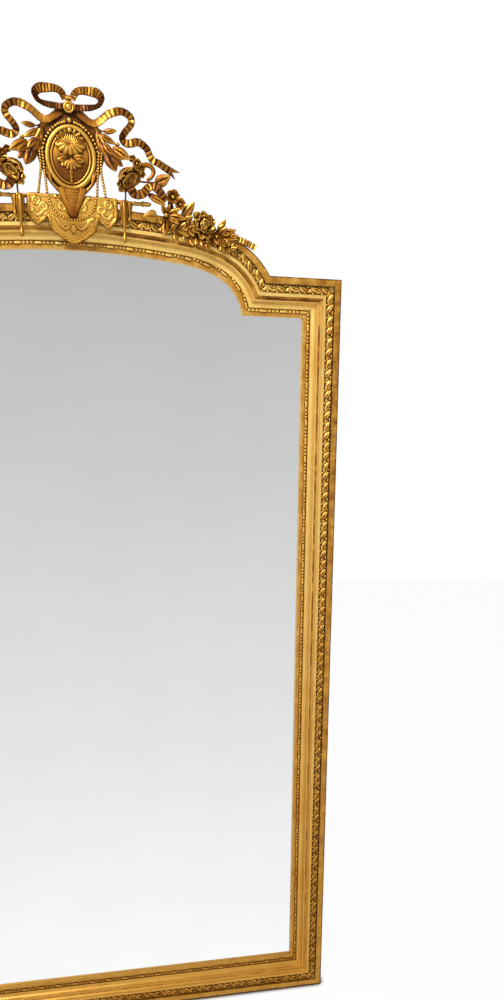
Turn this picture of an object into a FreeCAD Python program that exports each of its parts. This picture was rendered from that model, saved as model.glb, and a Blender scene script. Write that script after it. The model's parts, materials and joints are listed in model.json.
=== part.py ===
import FreeCAD
import Part
import math
import os

Vector = FreeCAD.Vector

# A giltwood wall mirror, in millimetres. X runs to the viewer's right, Z up,
# and the front faces -Y. The wall is the plane y = 0 and the frame stands on z = 0.
# A depth below is measured forward from the wall.

# The frame as a whole
frame_width = 1163.0
shoulder_height = 1815.0
shoulder_length = 139.4
crown_radius = 1775.0
haunch_radius = 260.0
spring_radius = 98.0
spring_drop = 10.8
haunch_turn_deg = 24.7
foot_turn_deg = 100.0
mitre_steps = 6
overrun = 20.0

# The moulding's section, measured outward from the sight edge and forward from the wall
moulding_width = 81.0
frame_depth = 58.0
glass_rebate = 12.0
board_rebate = 22.0
board_ledge = 10.0
lip_back = 18.0
lip_front = 27.0
bead_seat_end = 16.5
cavetto_foot = 30.0
cavetto_end = 30.0
cavetto_top = 42.0
step_foot = 31.5
step_end = 40.0
step_top = 51.5
leaf_seat_start = 47.0
leaf_seat_end = 65.5
leaf_seat = 47.5
edge_round = 3.0
hollow_bulge_share = -0.2
round_bulge_share = 0.2

# The applied bead rail and laurel band
bead_start = 6.5
bead_width = 9.0
bead_height = 4.4
laurel_height = 7.0
band_clearance = 0.2

# The mirror plate, its wedges and the back boards
glass_thickness = 6.0
glass_clearance = 3.0
wedge_length = 45.0
wedge_spacing = 330.0
board_thickness = 8.5
board_clearance = 1.0
board_count = 4

# Keys let into the outer corners
key_leg = 46.0
key_thickness = 3.0
key_depth = 24.0

# Hangers, let into the backs of the stiles
hanger_height = 1450.0
recess_width = 46.0
recess_depth = 12.0
recess_above = 38.0
recess_below = 84.0
strap_width = 22.0
strap_length = 70.0
strap_thickness = 2.0
ring_wire = 5.0
ring_fit = 0.08
ring_depth = 5.6
ring_gap = 3.0
ring_corner = 5.0
ring_side = 12.0
strap_screw_places = (42.0, 60.0)
screw_head = 8.0
screw_head_height = 1.5
screw_shank = 3.4
screw_length = 16.0

# The crest. Its outlines and routes are shares of its reach to each side, and of its
# height over the crown of the arch.
crest_reach = 226.0
crest_height = 222.0
ground_depth = 30.0
ground_thickness = 20.0
batten_width = 40.0
batten_housing = 14.0
batten_top_share = 0.76
batten_screw_offset = 10.0
batten_screw_rise = 18.0

# The cartouche
oval_width = 104.0
oval_height = 123.0
oval_end_radius = 43.0
oval_centre_share = 0.399
rim_width = 17.0
rim_height = 7.0
plaque_thickness = 4.0
pearl_cord = 6.0
pearl_height = 2.9
pearl_gap = 0.3
shell_ribs = 9
shell_rib_length = 25.0
shell_rib_end = 4.4
shell_rib_root = 1.6
shell_spread_deg = 150.0
shell_hinge_drop = 2.0
husk_length = 20.0
husk_width = 12.0
husk_count = 3
husk_spacing_share = 0.6
drop_height = 54.0
drop_width = 60.0
drop_front = 74.0
drop_dome = 64.0
drop_rise = 15.3

# The lambrequin and what hangs by it
lambrequin_width = 176.0
lambrequin_drop = 86.0
lambrequin_rise = 14.0
lambrequin_thickness = 6.0
lambrequin_bend_share = 0.56
lambrequin_set_back = 13.5
strand_diameter = 5.0
swag_half_span = 48.0
swag_fall = 43.0
tassel_place = 104.0
tassel_drop = 82.0
tassel_radius = 6.5
twig_diameter = 7.0
twig_end = 162.0
twig_rise = 11.5
twig_lap = 12.0
acorn_length = 22.0
acorn_cup_share = 0.33
acorn_diameter = 12.0

# Ribbons
ribbon_thickness = 5.0
bow_width = 13.0
streamer_width = 12.5
lower_ribbon_width = 13.0
end_ribbon_width = 13.0
knot_radius = 11.0
knot_height = 16.0
knot_rise_share = 0.807
tail_notch_share = 0.45

# Roses, stems, leaves and flowers
rose_diameter = 58.0
rose_place_share = (0.483, 0.274)
rose_bud_share = 0.5
rose_bud_rise_share = 0.3
rose_petal_share = 0.95
rose_inner_share = 0.8
stem_diameter = 6.0
flower_thickness = 5.0
leaf_edge_share = 0.35
petal_root_share = 0.35
boss_share = 0.55
rose_root_share = 0.12
rose_inner_count = 5
rose_inner_lift_deg = 42.0
rose_outer_count = 6
rose_outer_lift_deg = 14.0
rose_stem_share = (0.283, -0.036)
rose_leaf_share = (0.134, 0.095)
rose_leaf_heading_deg = 64.0
lily_count = 6
lily_lift_deg = 12.0
bloom_count = 8
bloom_lift_deg = 20.0
blossom_count = 5
blossom_lift_deg = 25.0
stem_taper_share = 0.67

# Half outlines and routes, as shares of the crest's reach and height
ground_half_shares = ((0.0, 0.855), (0.05, 0.85), (0.262, 0.665), (0.308, 0.54),
                      (0.303, 0.44), (0.262, 0.305), (0.205, 0.205), (0.11, 0.105), (0.0, 0.05))
ground_bulge_shares = (0.0, 0.0, 0.0, 0.12, 0.0, 0.06, 0.08, 0.1, 0.08)
bow_route_shares = ((0.03, 0.869), (0.063, 0.932), (0.117, 0.966), (0.194, 0.963), (0.252, 0.946),
                    (0.287, 0.9), (0.262, 0.846), (0.203, 0.822), (0.131, 0.812), (0.04, 0.81))
streamer_route_shares = ((0.07, 0.77), (0.135, 0.73), (0.225, 0.7), (0.347, 0.785), (0.459, 0.82),
                         (0.54, 0.78), (0.545, 0.72), (0.493, 0.655), (0.462, 0.6), (0.49, 0.56),
                         (0.545, 0.562), (0.608, 0.576), (0.676, 0.534), (0.705, 0.48),
                         (0.73, 0.437), (0.788, 0.412), (0.874, 0.365), (0.965, 0.315))
lower_ribbon_shares = ((0.5, 0.21), (0.55, 0.145), (0.64, 0.135), (0.72, 0.19), (0.8, 0.175), (0.86, 0.06))
sprig_root_share = (0.255, 0.615)
strand_top_share = 0.45
outer_strand_shares = (0.276, 0.301)
inner_strand_shares = (0.246, 0.22)
lambrequin_half_shares = ((0.0, 0.0), (1.0, 0.0), (1.0, 0.38), (0.77, 0.64), (0.57, 0.46), (0.55, 0.52),
                          (0.46, 0.72), (0.24, 0.92), (0.0, 1.0))
lambrequin_bulge_shares = (0.0, 0.0, 0.0, 0.16, 0.16, 0.0, 0.1, 0.12, 0.06)
drop_half_shares = ((0.0, 1.0), (1.0, 1.0), (0.72, 0.6), (0.22, 0.14), (0.0, 0.0))
drop_bulge_shares = (0.0, 0.0, 0.06, 0.0, 0.0)
tassel_radius_shares = ((0.0, 0.55), (0.1, 0.95), (0.3, 1.0), (0.6, 0.6), (0.82, 0.34), (0.9, 0.62),
                        (0.96, 0.58), (1.0, 0.12))

# Leaves on the sprig: how far along it they grow, their length and width as shares of
# reach, and their heading clockwise from straight up
sprig_leaf_shares = ((0.1, 0.165, 0.045), (0.3, 0.12, 0.055), (0.5, 0.17, 0.075), (0.42, 0.13, 0.06))
sprig_leaf_headings_deg = (84.0, 104.0, 122.0, 172.0)
sprig_leaf_lifts_deg = (2.0, 4.0, 3.0, 6.0)

# Leaves on the arch: how far they root from the crest's reach to the arch's foot, how far
# across the outer fillet, their length and width as shares of reach, then heading and lift
arch_leaf_shares = ((0.4263, 0.6, 0.145, 0.05), (0.4677, 0.9, 0.14, 0.05), (0.4736, 0.7, 0.135, 0.05),
                    (0.2704, 0.12, 0.11, 0.05), (0.4157, 0.33, 0.135, 0.055), (0.0213, 0.76, 0.2, 0.075),
                    (-0.287, 0.61, 0.12, 0.08))
arch_leaf_headings_deg = (28.0, 84.0, 116.0, 147.0, 152.0, 42.0, 272.0)
arch_leaf_lifts_deg = (5.0, 9.0, 3.0, 2.0, 7.0, 4.0, 2.0)
leaf_set_back_share = 0.3
end_ribbon_shares = ((0.5905, -0.01), (0.6614, 0.0095), (0.7558, 0.024), (0.8326, 0.044))
lily_share = 0.861
bloom_share = 0.2067
blossom_place_share = (0.949, 0.13)
lily_size_shares = (0.16, 0.05)
bloom_size_shares = (0.12, 0.055)
blossom_size_shares = (0.075, 0.045)

# The arch's sight edge is three arcs that touch. Their centres follow from the shoulder up.
half_width = frame_width / 2
sight_half = half_width - moulding_width
sight_shoulder = shoulder_height - moulding_width
haunch_turn = math.radians(haunch_turn_deg)
spring_x = sight_half - shoulder_length - math.sqrt(spring_radius ** 2 - spring_drop ** 2)
spring_z = sight_shoulder - spring_drop
haunch_x = spring_x - (haunch_radius - spring_radius) * math.sin(haunch_turn)
haunch_z = spring_z - (haunch_radius - spring_radius) * math.cos(haunch_turn)
crown_turn = math.asin(haunch_x / (crown_radius - haunch_radius))
crown_z = haunch_z - (crown_radius - haunch_radius) * math.cos(crown_turn)
sight_crown = crown_z + crown_radius
crown_height = sight_crown + moulding_width

# Other depths and heights that follow from the sizes above
ground_front = ground_depth + ground_thickness
crest_front = frame_depth + lambrequin_thickness
ribbon_middle = ground_front + ribbon_thickness / 2
strap_front = recess_depth - strap_thickness
oval_centre = crown_height + oval_centre_share * crest_height


def point(x, depth, z):
    """A place given by its depth forward from the wall."""
    return Vector(x, -depth, z)


def crest(shares, depth):
    """A place on the crest, from its shares of reach and height."""
    return point(shares[0] * crest_reach, depth, crown_height + shares[1] * crest_height)


def mirrored(shape):
    """The left-hand twin of a right-hand piece."""
    return shape.mirror(Vector(0, 0, 0), Vector(1, 0, 0))


def both_sides(half):
    """One piece from its right half."""
    return half.fuse(mirrored(half)).removeSplitter()


def outline(places, bulges):
    """A closed wire through the places, whose steps bulge by a share of their chord."""
    edges = []
    for index in range(len(places)):
        start = places[index - 1]
        end = places[index]
        if (end - start).Length == 0:
            continue
        if bulges[index] == 0:
            edges.append(Part.LineSegment(start, end).toShape())
            continue
        chord = end - start
        middle = start + chord / 2 + Vector(0, -1, 0).cross(chord) * bulges[index]
        edges.append(Part.Arc(start, middle, end).toShape())
    return Part.Wire(edges)


def slab(wire, thickness):
    """A plate that runs forward from a wire that faces the front."""
    return Part.Face(wire).extrude(point(0, thickness, 0))


def block(x0, x1, depth0, depth1, z0, z1):
    """A squared piece between two planes each way."""
    return Part.makeBox(x1 - x0, depth1 - depth0, z1 - z0, point(x0, depth1, z0))


def arch_arcs():
    """The three arcs of the right half of the sight edge, from the crown down."""
    return ((Vector(0, 0, crown_z), crown_radius, 0, crown_turn),
            (Vector(haunch_x, 0, haunch_z), haunch_radius, crown_turn, haunch_turn),
            (Vector(spring_x, 0, spring_z), spring_radius, haunch_turn, math.radians(foot_turn_deg)))


def foot_x(offset):
    """Where the arch, moved out by an offset, meets the shoulder moved out alike."""
    spring, radius = arch_arcs()[2][:2]
    rise = sight_shoulder + offset - spring.z
    return spring.x + math.sqrt((radius + offset) ** 2 - rise ** 2)


def arch_place(x, offset, depth):
    """The place over x on the arch's sight edge moved out by an offset."""
    for centre, radius, start, end in arch_arcs():
        reach = radius + offset
        if x <= centre.x + reach * math.sin(end):
            break
    return point(x, depth, centre.z + math.sqrt(reach ** 2 - (x - centre.x) ** 2))


def beyond_crest(share):
    """A place across the arch, part of the way from the crest's reach to the arch's foot."""
    return crest_reach + share * (foot_x(moulding_width) - crest_reach)


def sight_plate(offset, depth, thickness):
    """A plate in the shape of the sight opening, moved out by an offset."""
    side = sight_half + offset
    bottom = moulding_width - offset
    top = sight_shoulder + offset
    foot = foot_x(offset)
    corners = [point(0, depth, bottom), point(side, depth, bottom), point(side, depth, top), point(foot, depth, top)]
    edges = [Part.LineSegment(a, b).toShape() for a, b in zip(corners, corners[1:])]
    for centre, radius, start, end in reversed(arch_arcs()):
        reach = radius + offset
        last = min(end, math.acos((top - centre.z) / reach))
        turns = (last, (start + last) / 2, start)
        arc = [centre + point(reach * math.sin(t), depth, reach * math.cos(t)) for t in turns]
        edges.append(Part.Arc(*arc).toShape())
    edges.append(Part.LineSegment(arc[2], corners[0]).toShape())
    return both_sides(slab(Part.Wire(edges), thickness))


def frame_section():
    """The moulding's section: places, then the bulge of the step to each place."""
    outer = moulding_width
    return (((0, lip_back), 0),
            ((0, lip_front), 0),
            ((bead_seat_end, lip_front), 0),
            ((bead_seat_end, cavetto_foot), 0),
            ((cavetto_end, cavetto_top), hollow_bulge_share),
            ((step_foot, cavetto_top), 0),
            ((step_end, step_top), hollow_bulge_share),
            ((leaf_seat_start, step_top), 0),
            ((leaf_seat_start, leaf_seat), 0),
            ((leaf_seat_end, leaf_seat), 0),
            ((leaf_seat_end, frame_depth), 0),
            ((outer - edge_round, frame_depth), 0),
            ((outer, frame_depth - edge_round), round_bulge_share),
            ((outer, 0), 0),
            ((board_rebate, 0), 0),
            ((board_rebate, board_ledge), 0),
            ((glass_rebate, board_ledge), 0),
            ((glass_rebate, lip_back), 0))


def bead_section():
    """A low round rail on the flat behind the lip."""
    rise = bead_height / bead_width
    return (((bead_start, lip_front), 0), ((bead_start + bead_width, lip_front), rise))


def laurel_section():
    """The rounded core of the leaf band, in its own seat."""
    start = leaf_seat_start + band_clearance
    end = leaf_seat_end - band_clearance
    return (((start, leaf_seat), 0), ((end, leaf_seat), laurel_height / (end - start)))


def section_face(section, place):
    """The face of a section, laid out by a function of offset and depth."""
    edges = []
    for index in range(len(section)):
        (u0, d0), before = section[index - 1]
        (u1, d1), bulge = section[index]
        start = place(u0, d0)
        end = place(u1, d1)
        if bulge == 0:
            edges.append(Part.LineSegment(start, end).toShape())
            continue
        middle = place((u0 + u1) / 2 - bulge * (d1 - d0), (d0 + d1) / 2 + bulge * (u1 - u0))
        edges.append(Part.Arc(start, middle, end).toShape())
    return Part.Face(Part.Wire(edges))


def foot_mitre(depth):
    """The curved mitre between the shoulder and the arch, from sight edge to outer edge."""
    offsets = [moulding_width * step / mitre_steps for step in range(mitre_steps + 1)]
    curve = Part.BSplineCurve()
    curve.interpolate([point(foot_x(u), depth, sight_shoulder + u) for u in offsets])
    return curve.toShape()


def region(corners, mitre):
    """A block through the frame's whole depth that trims one member to its mitres."""
    front = -overrun
    places = [point(x, front, z) for x, z in corners]
    edges = [Part.LineSegment(a, b).toShape() for a, b in zip(places, places[1:])]
    if mitre:
        edges.append(foot_mitre(front))
    else:
        edges.append(Part.LineSegment(places[-1], places[0]).toShape())
    return slab(Part.Wire(edges), frame_depth + 2 * overrun)


def straight_runs(section):
    """The section run along the sill, the right stile and the right shoulder, mitred."""
    foot = foot_x(0)
    top = foot_x(moulding_width)
    sill = section_face(section, lambda u, d: point(-half_width, d, moulding_width - u))
    stile = section_face(section, lambda u, d: point(sight_half + u, d, 0))
    shoulder = section_face(section, lambda u, d: point(foot - overrun, d, sight_shoulder + u))
    sill_region = region(((-half_width, 0), (half_width, 0), (sight_half, moulding_width),
                          (-sight_half, moulding_width)), False)
    stile_region = region(((half_width, 0), (half_width, shoulder_height), (sight_half, sight_shoulder),
                           (sight_half, moulding_width)), False)
    shoulder_region = region(((top, shoulder_height), (half_width, shoulder_height),
                              (sight_half, sight_shoulder), (foot, sight_shoulder)), True)
    sill_run = sill.extrude(Vector(frame_width, 0, 0)).common(sill_region)
    stile_run = stile.extrude(Vector(0, 0, shoulder_height)).common(stile_region)
    shoulder_run = shoulder.extrude(Vector(half_width - foot + overrun, 0, 0)).common(shoulder_region)
    return sill_run, stile_run, shoulder_run


def arch_run(section):
    """The section turned along the right half of the arch, cut where it meets the shoulder."""
    pieces = []
    for centre, radius, start, end in arch_arcs():
        across = Vector(math.sin(start), 0, math.cos(start))
        face = section_face(section, lambda u, d: centre + across * (radius + u) + point(0, d, 0))
        pieces.append(face.revolve(centre, Vector(0, 1, 0), math.degrees(end - start)))
    run = pieces[0].multiFuse(pieces[1:]).removeSplitter()
    top = foot_x(moulding_width)
    low = sight_shoulder - spring_radius - moulding_width
    below = region(((top, shoulder_height), (half_width, shoulder_height), (half_width, low), (0, low),
                    (0, sight_shoulder), (foot_x(0), sight_shoulder)), True)
    return run.cut(below)


def corner_key(z, up):
    """A slip across one right-hand outer corner of the frame."""
    leg = key_leg * up
    places = [point(half_width, key_depth, z), point(half_width - key_leg, key_depth, z),
              point(half_width, key_depth, z + leg)]
    return slab(outline(places, (0, 0, 0)), key_thickness)


def wood_screw(x, depth, z):
    """A countersunk screw driven forward, with its head flush at the given depth."""
    head = screw_head / 2
    shank = screw_shank / 2
    section = (((0, depth), 0),
               ((head, depth), 0),
               ((shank, depth + screw_head_height), 0),
               ((shank, depth + screw_length), 0),
               ((0, depth + screw_length), 0))
    face = section_face(section, lambda u, d: point(x + u, d, z))
    return face.revolve(point(x, 0, z), Vector(0, 1, 0), 360)


def hanger_x():
    """The middle of the plain back of the right stile."""
    return half_width - (moulding_width - board_rebate) / 2


def hanger_recess():
    """The pocket in the stile's back that holds a hanger and its ring."""
    x = hanger_x()
    return block(x - recess_width / 2, x + recess_width / 2, -overrun, recess_depth,
                 hanger_height - recess_below, hanger_height + recess_above)


def hanger_strap():
    """A strap with its end rolled round the bar of the ring."""
    x = hanger_x()
    half = strap_width / 2
    bore = ring_wire / 2 + ring_fit
    outer = bore + strap_thickness
    plate = block(x - half, x + half, strap_front, recess_depth, hanger_height - strap_length, hanger_height)
    neck = block(x - half, x + half, ring_depth, recess_depth, hanger_height - strap_thickness,
                 hanger_height + strap_thickness)
    pin = point(x - half, ring_depth, hanger_height)
    barrel = Part.makeCylinder(outer, strap_width, pin, Vector(1, 0, 0))
    hole = Part.makeCylinder(bore, strap_width, pin, Vector(1, 0, 0))
    return barrel.multiFuse([plate, neck]).cut(hole).removeSplitter()


def ring_bend(place, heading, centre, turn_deg):
    """A bend of the ring's wire, turned in the plane of the wall."""
    disc = Part.Face(Part.Wire(Part.makeCircle(ring_wire / 2, place, heading)))
    return disc.revolve(centre, Vector(0, 1, 0), turn_deg)


def hanger_ring():
    """A loop of round wire: a straight bar, two tight corners and a round eye."""
    x = hanger_x()
    side = strap_width / 2 + ring_gap + ring_wire / 2
    bar = side - ring_corner
    low = hanger_height - ring_side
    wire = ring_wire / 2
    middle = point(x, ring_depth, hanger_height)
    pieces = [Part.makeCylinder(wire, 2 * bar, middle - Vector(bar, 0, 0), Vector(1, 0, 0))]
    for sign in (-1, 1):
        end = middle + Vector(sign * bar, 0, 0)
        pieces.append(ring_bend(end, Vector(1, 0, 0), end - Vector(0, 0, ring_corner), 90 * sign))
        start = point(x + sign * side, ring_depth, low)
        pieces.append(Part.makeCylinder(wire, ring_side - ring_corner, start, Vector(0, 0, 1)))
    eye = point(x, ring_depth, low)
    pieces.append(ring_bend(eye + Vector(side, 0, 0), Vector(0, 0, 1), eye, 180))
    return pieces[0].multiFuse(pieces[1:]).removeSplitter()


def glass_wedges():
    """Slips between the edge of the plate and the wall of its rebate, on sill and stiles."""
    depth = lip_back - glass_thickness
    inner = glass_rebate - glass_clearance
    side = sight_half + inner
    bottom = moulding_width - inner
    wedges = []
    count = int(shoulder_height / wedge_spacing) - 1
    for step in range(count):
        z = moulding_width + wedge_spacing * (step + 1) - wedge_length / 2
        wedge = block(side, side + glass_clearance, depth, lip_back, z, z + wedge_length)
        wedges += [wedge, mirrored(wedge)]
    x = wedge_spacing / 2
    sill = block(x, x + wedge_length, depth, lip_back, bottom - glass_clearance, bottom)
    return Part.makeCompound(wedges + [sill, mirrored(sill)])


def back_boards():
    """Upright boards on the ledge behind the plate, cut to the sight opening's shape."""
    whole = sight_plate(board_rebate - board_clearance, board_ledge - board_thickness, board_thickness)
    box = whole.BoundBox
    pitch = box.XLength / board_count
    boards = []
    for index in range(board_count):
        x = box.XMin + pitch * index
        left = x + (board_clearance / 2 if index else -overrun)
        right = x + pitch - (board_clearance / 2 if index < board_count - 1 else -overrun)
        boards.append(whole.common(block(left, right, -overrun, lip_back, 0, crown_height)))
    return boards


def crest_batten():
    """A pine batten housed in the back of the arch, stepped forward above it."""
    foot = sight_crown + board_rebate + board_clearance
    step = crown_height + board_clearance
    top = crown_height + batten_top_share * crest_height
    half = batten_width / 2
    low = block(-half, half, 0, batten_housing, foot, top)
    high = block(-half, half, 0, ground_depth, step, top)
    return low.fuse(high).removeSplitter()


def batten_screws():
    """One screw into each half of the arch, sunk into the batten's back."""
    z = sight_crown + board_rebate + batten_screw_rise
    screw = wood_screw(batten_screw_offset, 0, z)
    return screw, mirrored(screw)


def cartouche_ground():
    """The hooded board behind the oval."""
    places = [crest(share, ground_depth) for share in ground_half_shares]
    return both_sides(slab(outline(places, ground_bulge_shares), ground_thickness))


def oval_arcs(offset):
    """Four arcs of an oval: centre, radius and the turn at which each starts and ends."""
    wide = oval_width / 2
    tall = oval_height / 2
    end = oval_end_radius
    side = (wide ** 2 + (tall - end) ** 2 - end ** 2) / (2 * (wide - end))
    turn = math.atan2(tall - end, side - wide)
    middle = Vector(0, 0, oval_centre)
    return ((middle - Vector(side - wide, 0, 0), side + offset, -turn, turn),
            (middle + Vector(0, 0, tall - end), end + offset, turn, math.pi - turn),
            (middle + Vector(side - wide, 0, 0), side + offset, math.pi - turn, math.pi + turn),
            (middle - Vector(0, 0, tall - end), end + offset, math.pi + turn, 2 * math.pi - turn))


def oval_plate(offset, depth, thickness):
    """A flat oval, moved in or out from the rim's edge by an offset."""
    edges = []
    for centre, radius, start, end in oval_arcs(offset):
        turns = (start, (start + end) / 2, end)
        arc = [centre + point(radius * math.cos(t), depth, radius * math.sin(t)) for t in turns]
        edges.append(Part.Arc(*arc).toShape())
    return slab(Part.Wire(edges), thickness)


def oval_ring(inner, outer, height):
    """A half-round ring that follows the oval, seated on the cartouche's ground."""
    section = (((inner, 0), 0), ((outer, 0), height / (outer - inner)))
    pieces = []
    for centre, radius, start, end in oval_arcs(0):
        across = Vector(math.cos(start), 0, math.sin(start))
        seat = centre + point(0, ground_front, 0)
        face = section_face(section, lambda u, d: seat + across * (radius + u) + point(0, d, 0))
        pieces.append(face.revolve(centre, Vector(0, -1, 0), math.degrees(end - start)))
    return pieces[0].multiFuse(pieces[1:]).removeSplitter()


def leaf(root, length, width, heading_deg, lift_deg=0):
    """A domed pointed leaf, headed clockwise from straight up and lifted off its back."""
    middle = length / 2
    places = [point(0, 0, 0), point(0, 0, length)]
    edges = [Part.Arc(places[0], point(width / 2, 0, middle), places[1]).toShape(),
             Part.Arc(places[1], point(-width / 2, 0, middle), places[0]).toShape()]
    rise = flower_thickness * (1 - leaf_edge_share)
    radius = (middle ** 2 + rise ** 2) / (2 * rise)
    dome = Part.makeSphere(radius, point(0, flower_thickness - radius, middle))
    blade = slab(Part.Wire(edges), 2 * flower_thickness).common(dome)
    blade.rotate(Vector(0, 0, 0), Vector(1, 0, 0), lift_deg)
    blade.rotate(Vector(0, 0, 0), Vector(0, 1, 0), heading_deg)
    blade.translate(root)
    return blade


def shell_relief():
    """A scallop fanned from a hinge boss, with husks that fall from it."""
    seat = ground_front + plaque_thickness
    hinge = point(0, seat, oval_centre - shell_hinge_drop)
    front = block(-oval_width, oval_width, seat, seat + oval_width, oval_centre - oval_height,
                  oval_centre + oval_height)
    pieces = [Part.makeSphere(2 * shell_rib_root, hinge)]
    for index in range(shell_ribs):
        turn = math.radians(shell_spread_deg) * (index / (shell_ribs - 1) - 0.5)
        along = Vector(math.sin(turn), 0, math.cos(turn))
        pieces.append(Part.makeCone(shell_rib_root, shell_rib_end, shell_rib_length, hinge, along))
        pieces.append(Part.makeSphere(shell_rib_end, hinge + along * shell_rib_length))
    for index in range(husk_count):
        size = 1 - index / (husk_count + 1)
        root = hinge - Vector(0, 0, husk_length * husk_spacing_share * index)
        pieces.append(leaf(root, husk_length * size, husk_width * size, 180))
    return pieces[0].multiFuse(pieces[1:]).common(front).removeSplitter()


def cartouche_drop():
    """The pointed body under the oval, in front of the lambrequin."""
    top = lambrequin_top() + drop_rise
    places = [point(x * drop_width / 2, ground_front, top - drop_height + z * drop_height)
              for x, z in drop_half_shares]
    body = both_sides(slab(outline(places, drop_bulge_shares), drop_front - ground_front))
    foot = point(0, drop_front - drop_dome, top - drop_height - overrun)
    dome = Part.makeCylinder(drop_dome, drop_height + 2 * overrun, foot)
    behind = block(-drop_width, drop_width, 0, crest_front, 0, crown_height + lambrequin_rise)
    oval = oval_plate(pearl_gap + pearl_cord + pearl_gap, ground_front, drop_front)
    return body.common(dome).cut(behind).cut(oval)


def lambrequin_top():
    """The height of the lambrequin's straight top edge."""
    return crown_height + lambrequin_rise


def lambrequin():
    """A carved pelmet that hangs over the arch's crown and bends back below."""
    top = lambrequin_top()
    places = [point(x * lambrequin_width / 2, 0, top - z * lambrequin_drop) for x, z in lambrequin_half_shares]
    cut_out = both_sides(slab(outline(places, lambrequin_bulge_shares), crest_front + overrun))
    bend = top - lambrequin_bend_share * lambrequin_drop
    low = top - lambrequin_drop
    back = [(frame_depth, top), (frame_depth, bend), (frame_depth - lambrequin_set_back, low)]
    front = [(depth + lambrequin_thickness, z) for depth, z in reversed(back)]
    places = [point(-lambrequin_width, depth, z) for depth, z in back + front]
    drape = Part.Face(Part.makePolygon(places + places[:1])).extrude(Vector(2 * lambrequin_width, 0, 0))
    return drape.common(cut_out)


def ribbon(places, width):
    """A flat band, with its face to the front, that follows a smooth route."""
    curve = Part.BSplineCurve()
    curve.interpolate(places)
    along = curve.tangent(curve.FirstParameter)[0]
    across = along.cross(Vector(0, 1, 0)).normalize() * (width / 2)
    thick = point(0, ribbon_thickness / 2, 0)
    middle = places[0]
    edges = [Part.LineSegment(middle + across - thick, middle - across - thick).toShape(),
             Part.LineSegment(middle - across - thick, middle - across).toShape(),
             Part.Arc(middle - across, middle + thick, middle + across).toShape(),
             Part.LineSegment(middle + across, middle + across - thick).toShape()]
    shell = Part.BRepOffsetAPI.MakePipeShell(Part.Wire(curve.toShape()))
    shell.setBiNormalMode(Vector(0, 1, 0))
    shell.add(Part.Wire(edges))
    shell.build()
    shell.makeSolid()
    return shell.shape()


def bow_knot():
    """A round knot with a ring round its domed middle."""
    centre = crest((0, knot_rise_share), ground_front)
    half = knot_radius / 2
    ring = Part.makeCylinder(knot_radius, half, centre, Vector(0, -1, 0))
    dome = Part.makeSphere(knot_radius, centre + point(0, half, 0))
    front = block(-knot_radius, knot_radius, ground_front, ground_front + knot_height,
                  centre.z - knot_radius, centre.z + knot_radius)
    return ring.fuse(dome.common(front)).removeSplitter()


def bow_loop():
    """One loop of the bow, in front of the tails and let into the knot's side."""
    places = [crest(share, ribbon_middle + ribbon_thickness) for share in bow_route_shares]
    return ribbon(places, bow_width).cut(bow_knot())


def streamer():
    """A tail of the bow that runs down the hood, loops and ends in a swallow tail."""
    places = [crest(share, ribbon_middle) for share in streamer_route_shares]
    band = ribbon(places, streamer_width)
    along = (places[-1] - places[-2]).normalize() * streamer_width
    across = along.cross(Vector(0, 1, 0)) * (1 + tail_notch_share)
    back = Vector(0, ribbon_thickness, 0)
    tip = places[-1] + along * tail_notch_share
    root = places[-1] - along * tail_notch_share
    notch = [root + back, tip + across + back, tip - across + back]
    return band.cut(slab(outline(notch, (0, 0, 0)), 2 * ribbon_thickness))


def heading(turn_deg):
    """The direction of a turn, clockwise from straight up as seen from the front."""
    turn = math.radians(turn_deg)
    return Vector(math.sin(turn), 0, math.cos(turn))


def sprig():
    """A tapered stem from the hood to the rose, with four leaves."""
    start = crest(sprig_root_share, ground_front + stem_diameter / 2)
    end = crest(rose_place_share, frame_depth + stem_diameter / 2)
    along = end - start
    piece = Part.makeCone(stem_diameter / 2, stem_diameter / 2 * stem_taper_share, along.Length, start, along)
    for index, (place, length, width) in enumerate(sprig_leaf_shares):
        turn = sprig_leaf_headings_deg[index]
        root = start + along * place - heading(turn) * (stem_diameter * leaf_set_back_share)
        blade = leaf(root, length * crest_reach, width * crest_reach, turn, sprig_leaf_lifts_deg[index])
        piece = piece.fuse(blade)
    return piece


def arch_leaves():
    """Pointed leaves that lie on the arch's outer fillet and fan past its edge."""
    blades = []
    fillet = moulding_width - leaf_seat_end
    for index, (x, across, length, width) in enumerate(arch_leaf_shares):
        root = arch_place(beyond_crest(x), leaf_seat_end + across * fillet, frame_depth)
        turn = arch_leaf_headings_deg[index]
        blades.append(leaf(root, length * crest_reach, width * crest_reach, turn, arch_leaf_lifts_deg[index]))
    return blades[0].multiFuse(blades[1:])


def petals(place, count, length, width, root, lift_deg):
    """A round of petals whose roots lie close about a place."""
    out = []
    for index in range(count):
        turn_deg = 360 * index / count
        out.append(leaf(place + heading(turn_deg) * root, length, width, turn_deg, lift_deg))
    return out


def flower(place, size_shares, count, lift_deg):
    """A round of petals about a boss, flat behind where it lies on the frame."""
    length, width = [share * crest_reach for share in size_shares]
    boss = Part.makeSphere(width * boss_share, place)
    whole = boss.multiFuse(petals(place, count, length, width, width * petal_root_share, lift_deg))
    reach = length + width
    front = Part.makeBox(2 * reach, reach, 2 * reach, place - Vector(reach, reach, reach))
    return whole.common(front)


def rose():
    """A full rose: a bud in two rounds of cupped petals."""
    place = crest(rose_place_share, frame_depth + stem_diameter / 2)
    size = rose_diameter / 2
    bud = Part.makeSphere(size * rose_bud_share, place + point(0, size * rose_bud_rise_share, 0))
    width = size * rose_petal_share
    root = size * rose_root_share
    inner = petals(place, rose_inner_count, size * rose_inner_share, width, root, rose_inner_lift_deg)
    outer = petals(place, rose_outer_count, size - root, width, root, rose_outer_lift_deg)
    return bud.multiFuse(inner + outer + rose_side_leaf(place))


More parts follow.
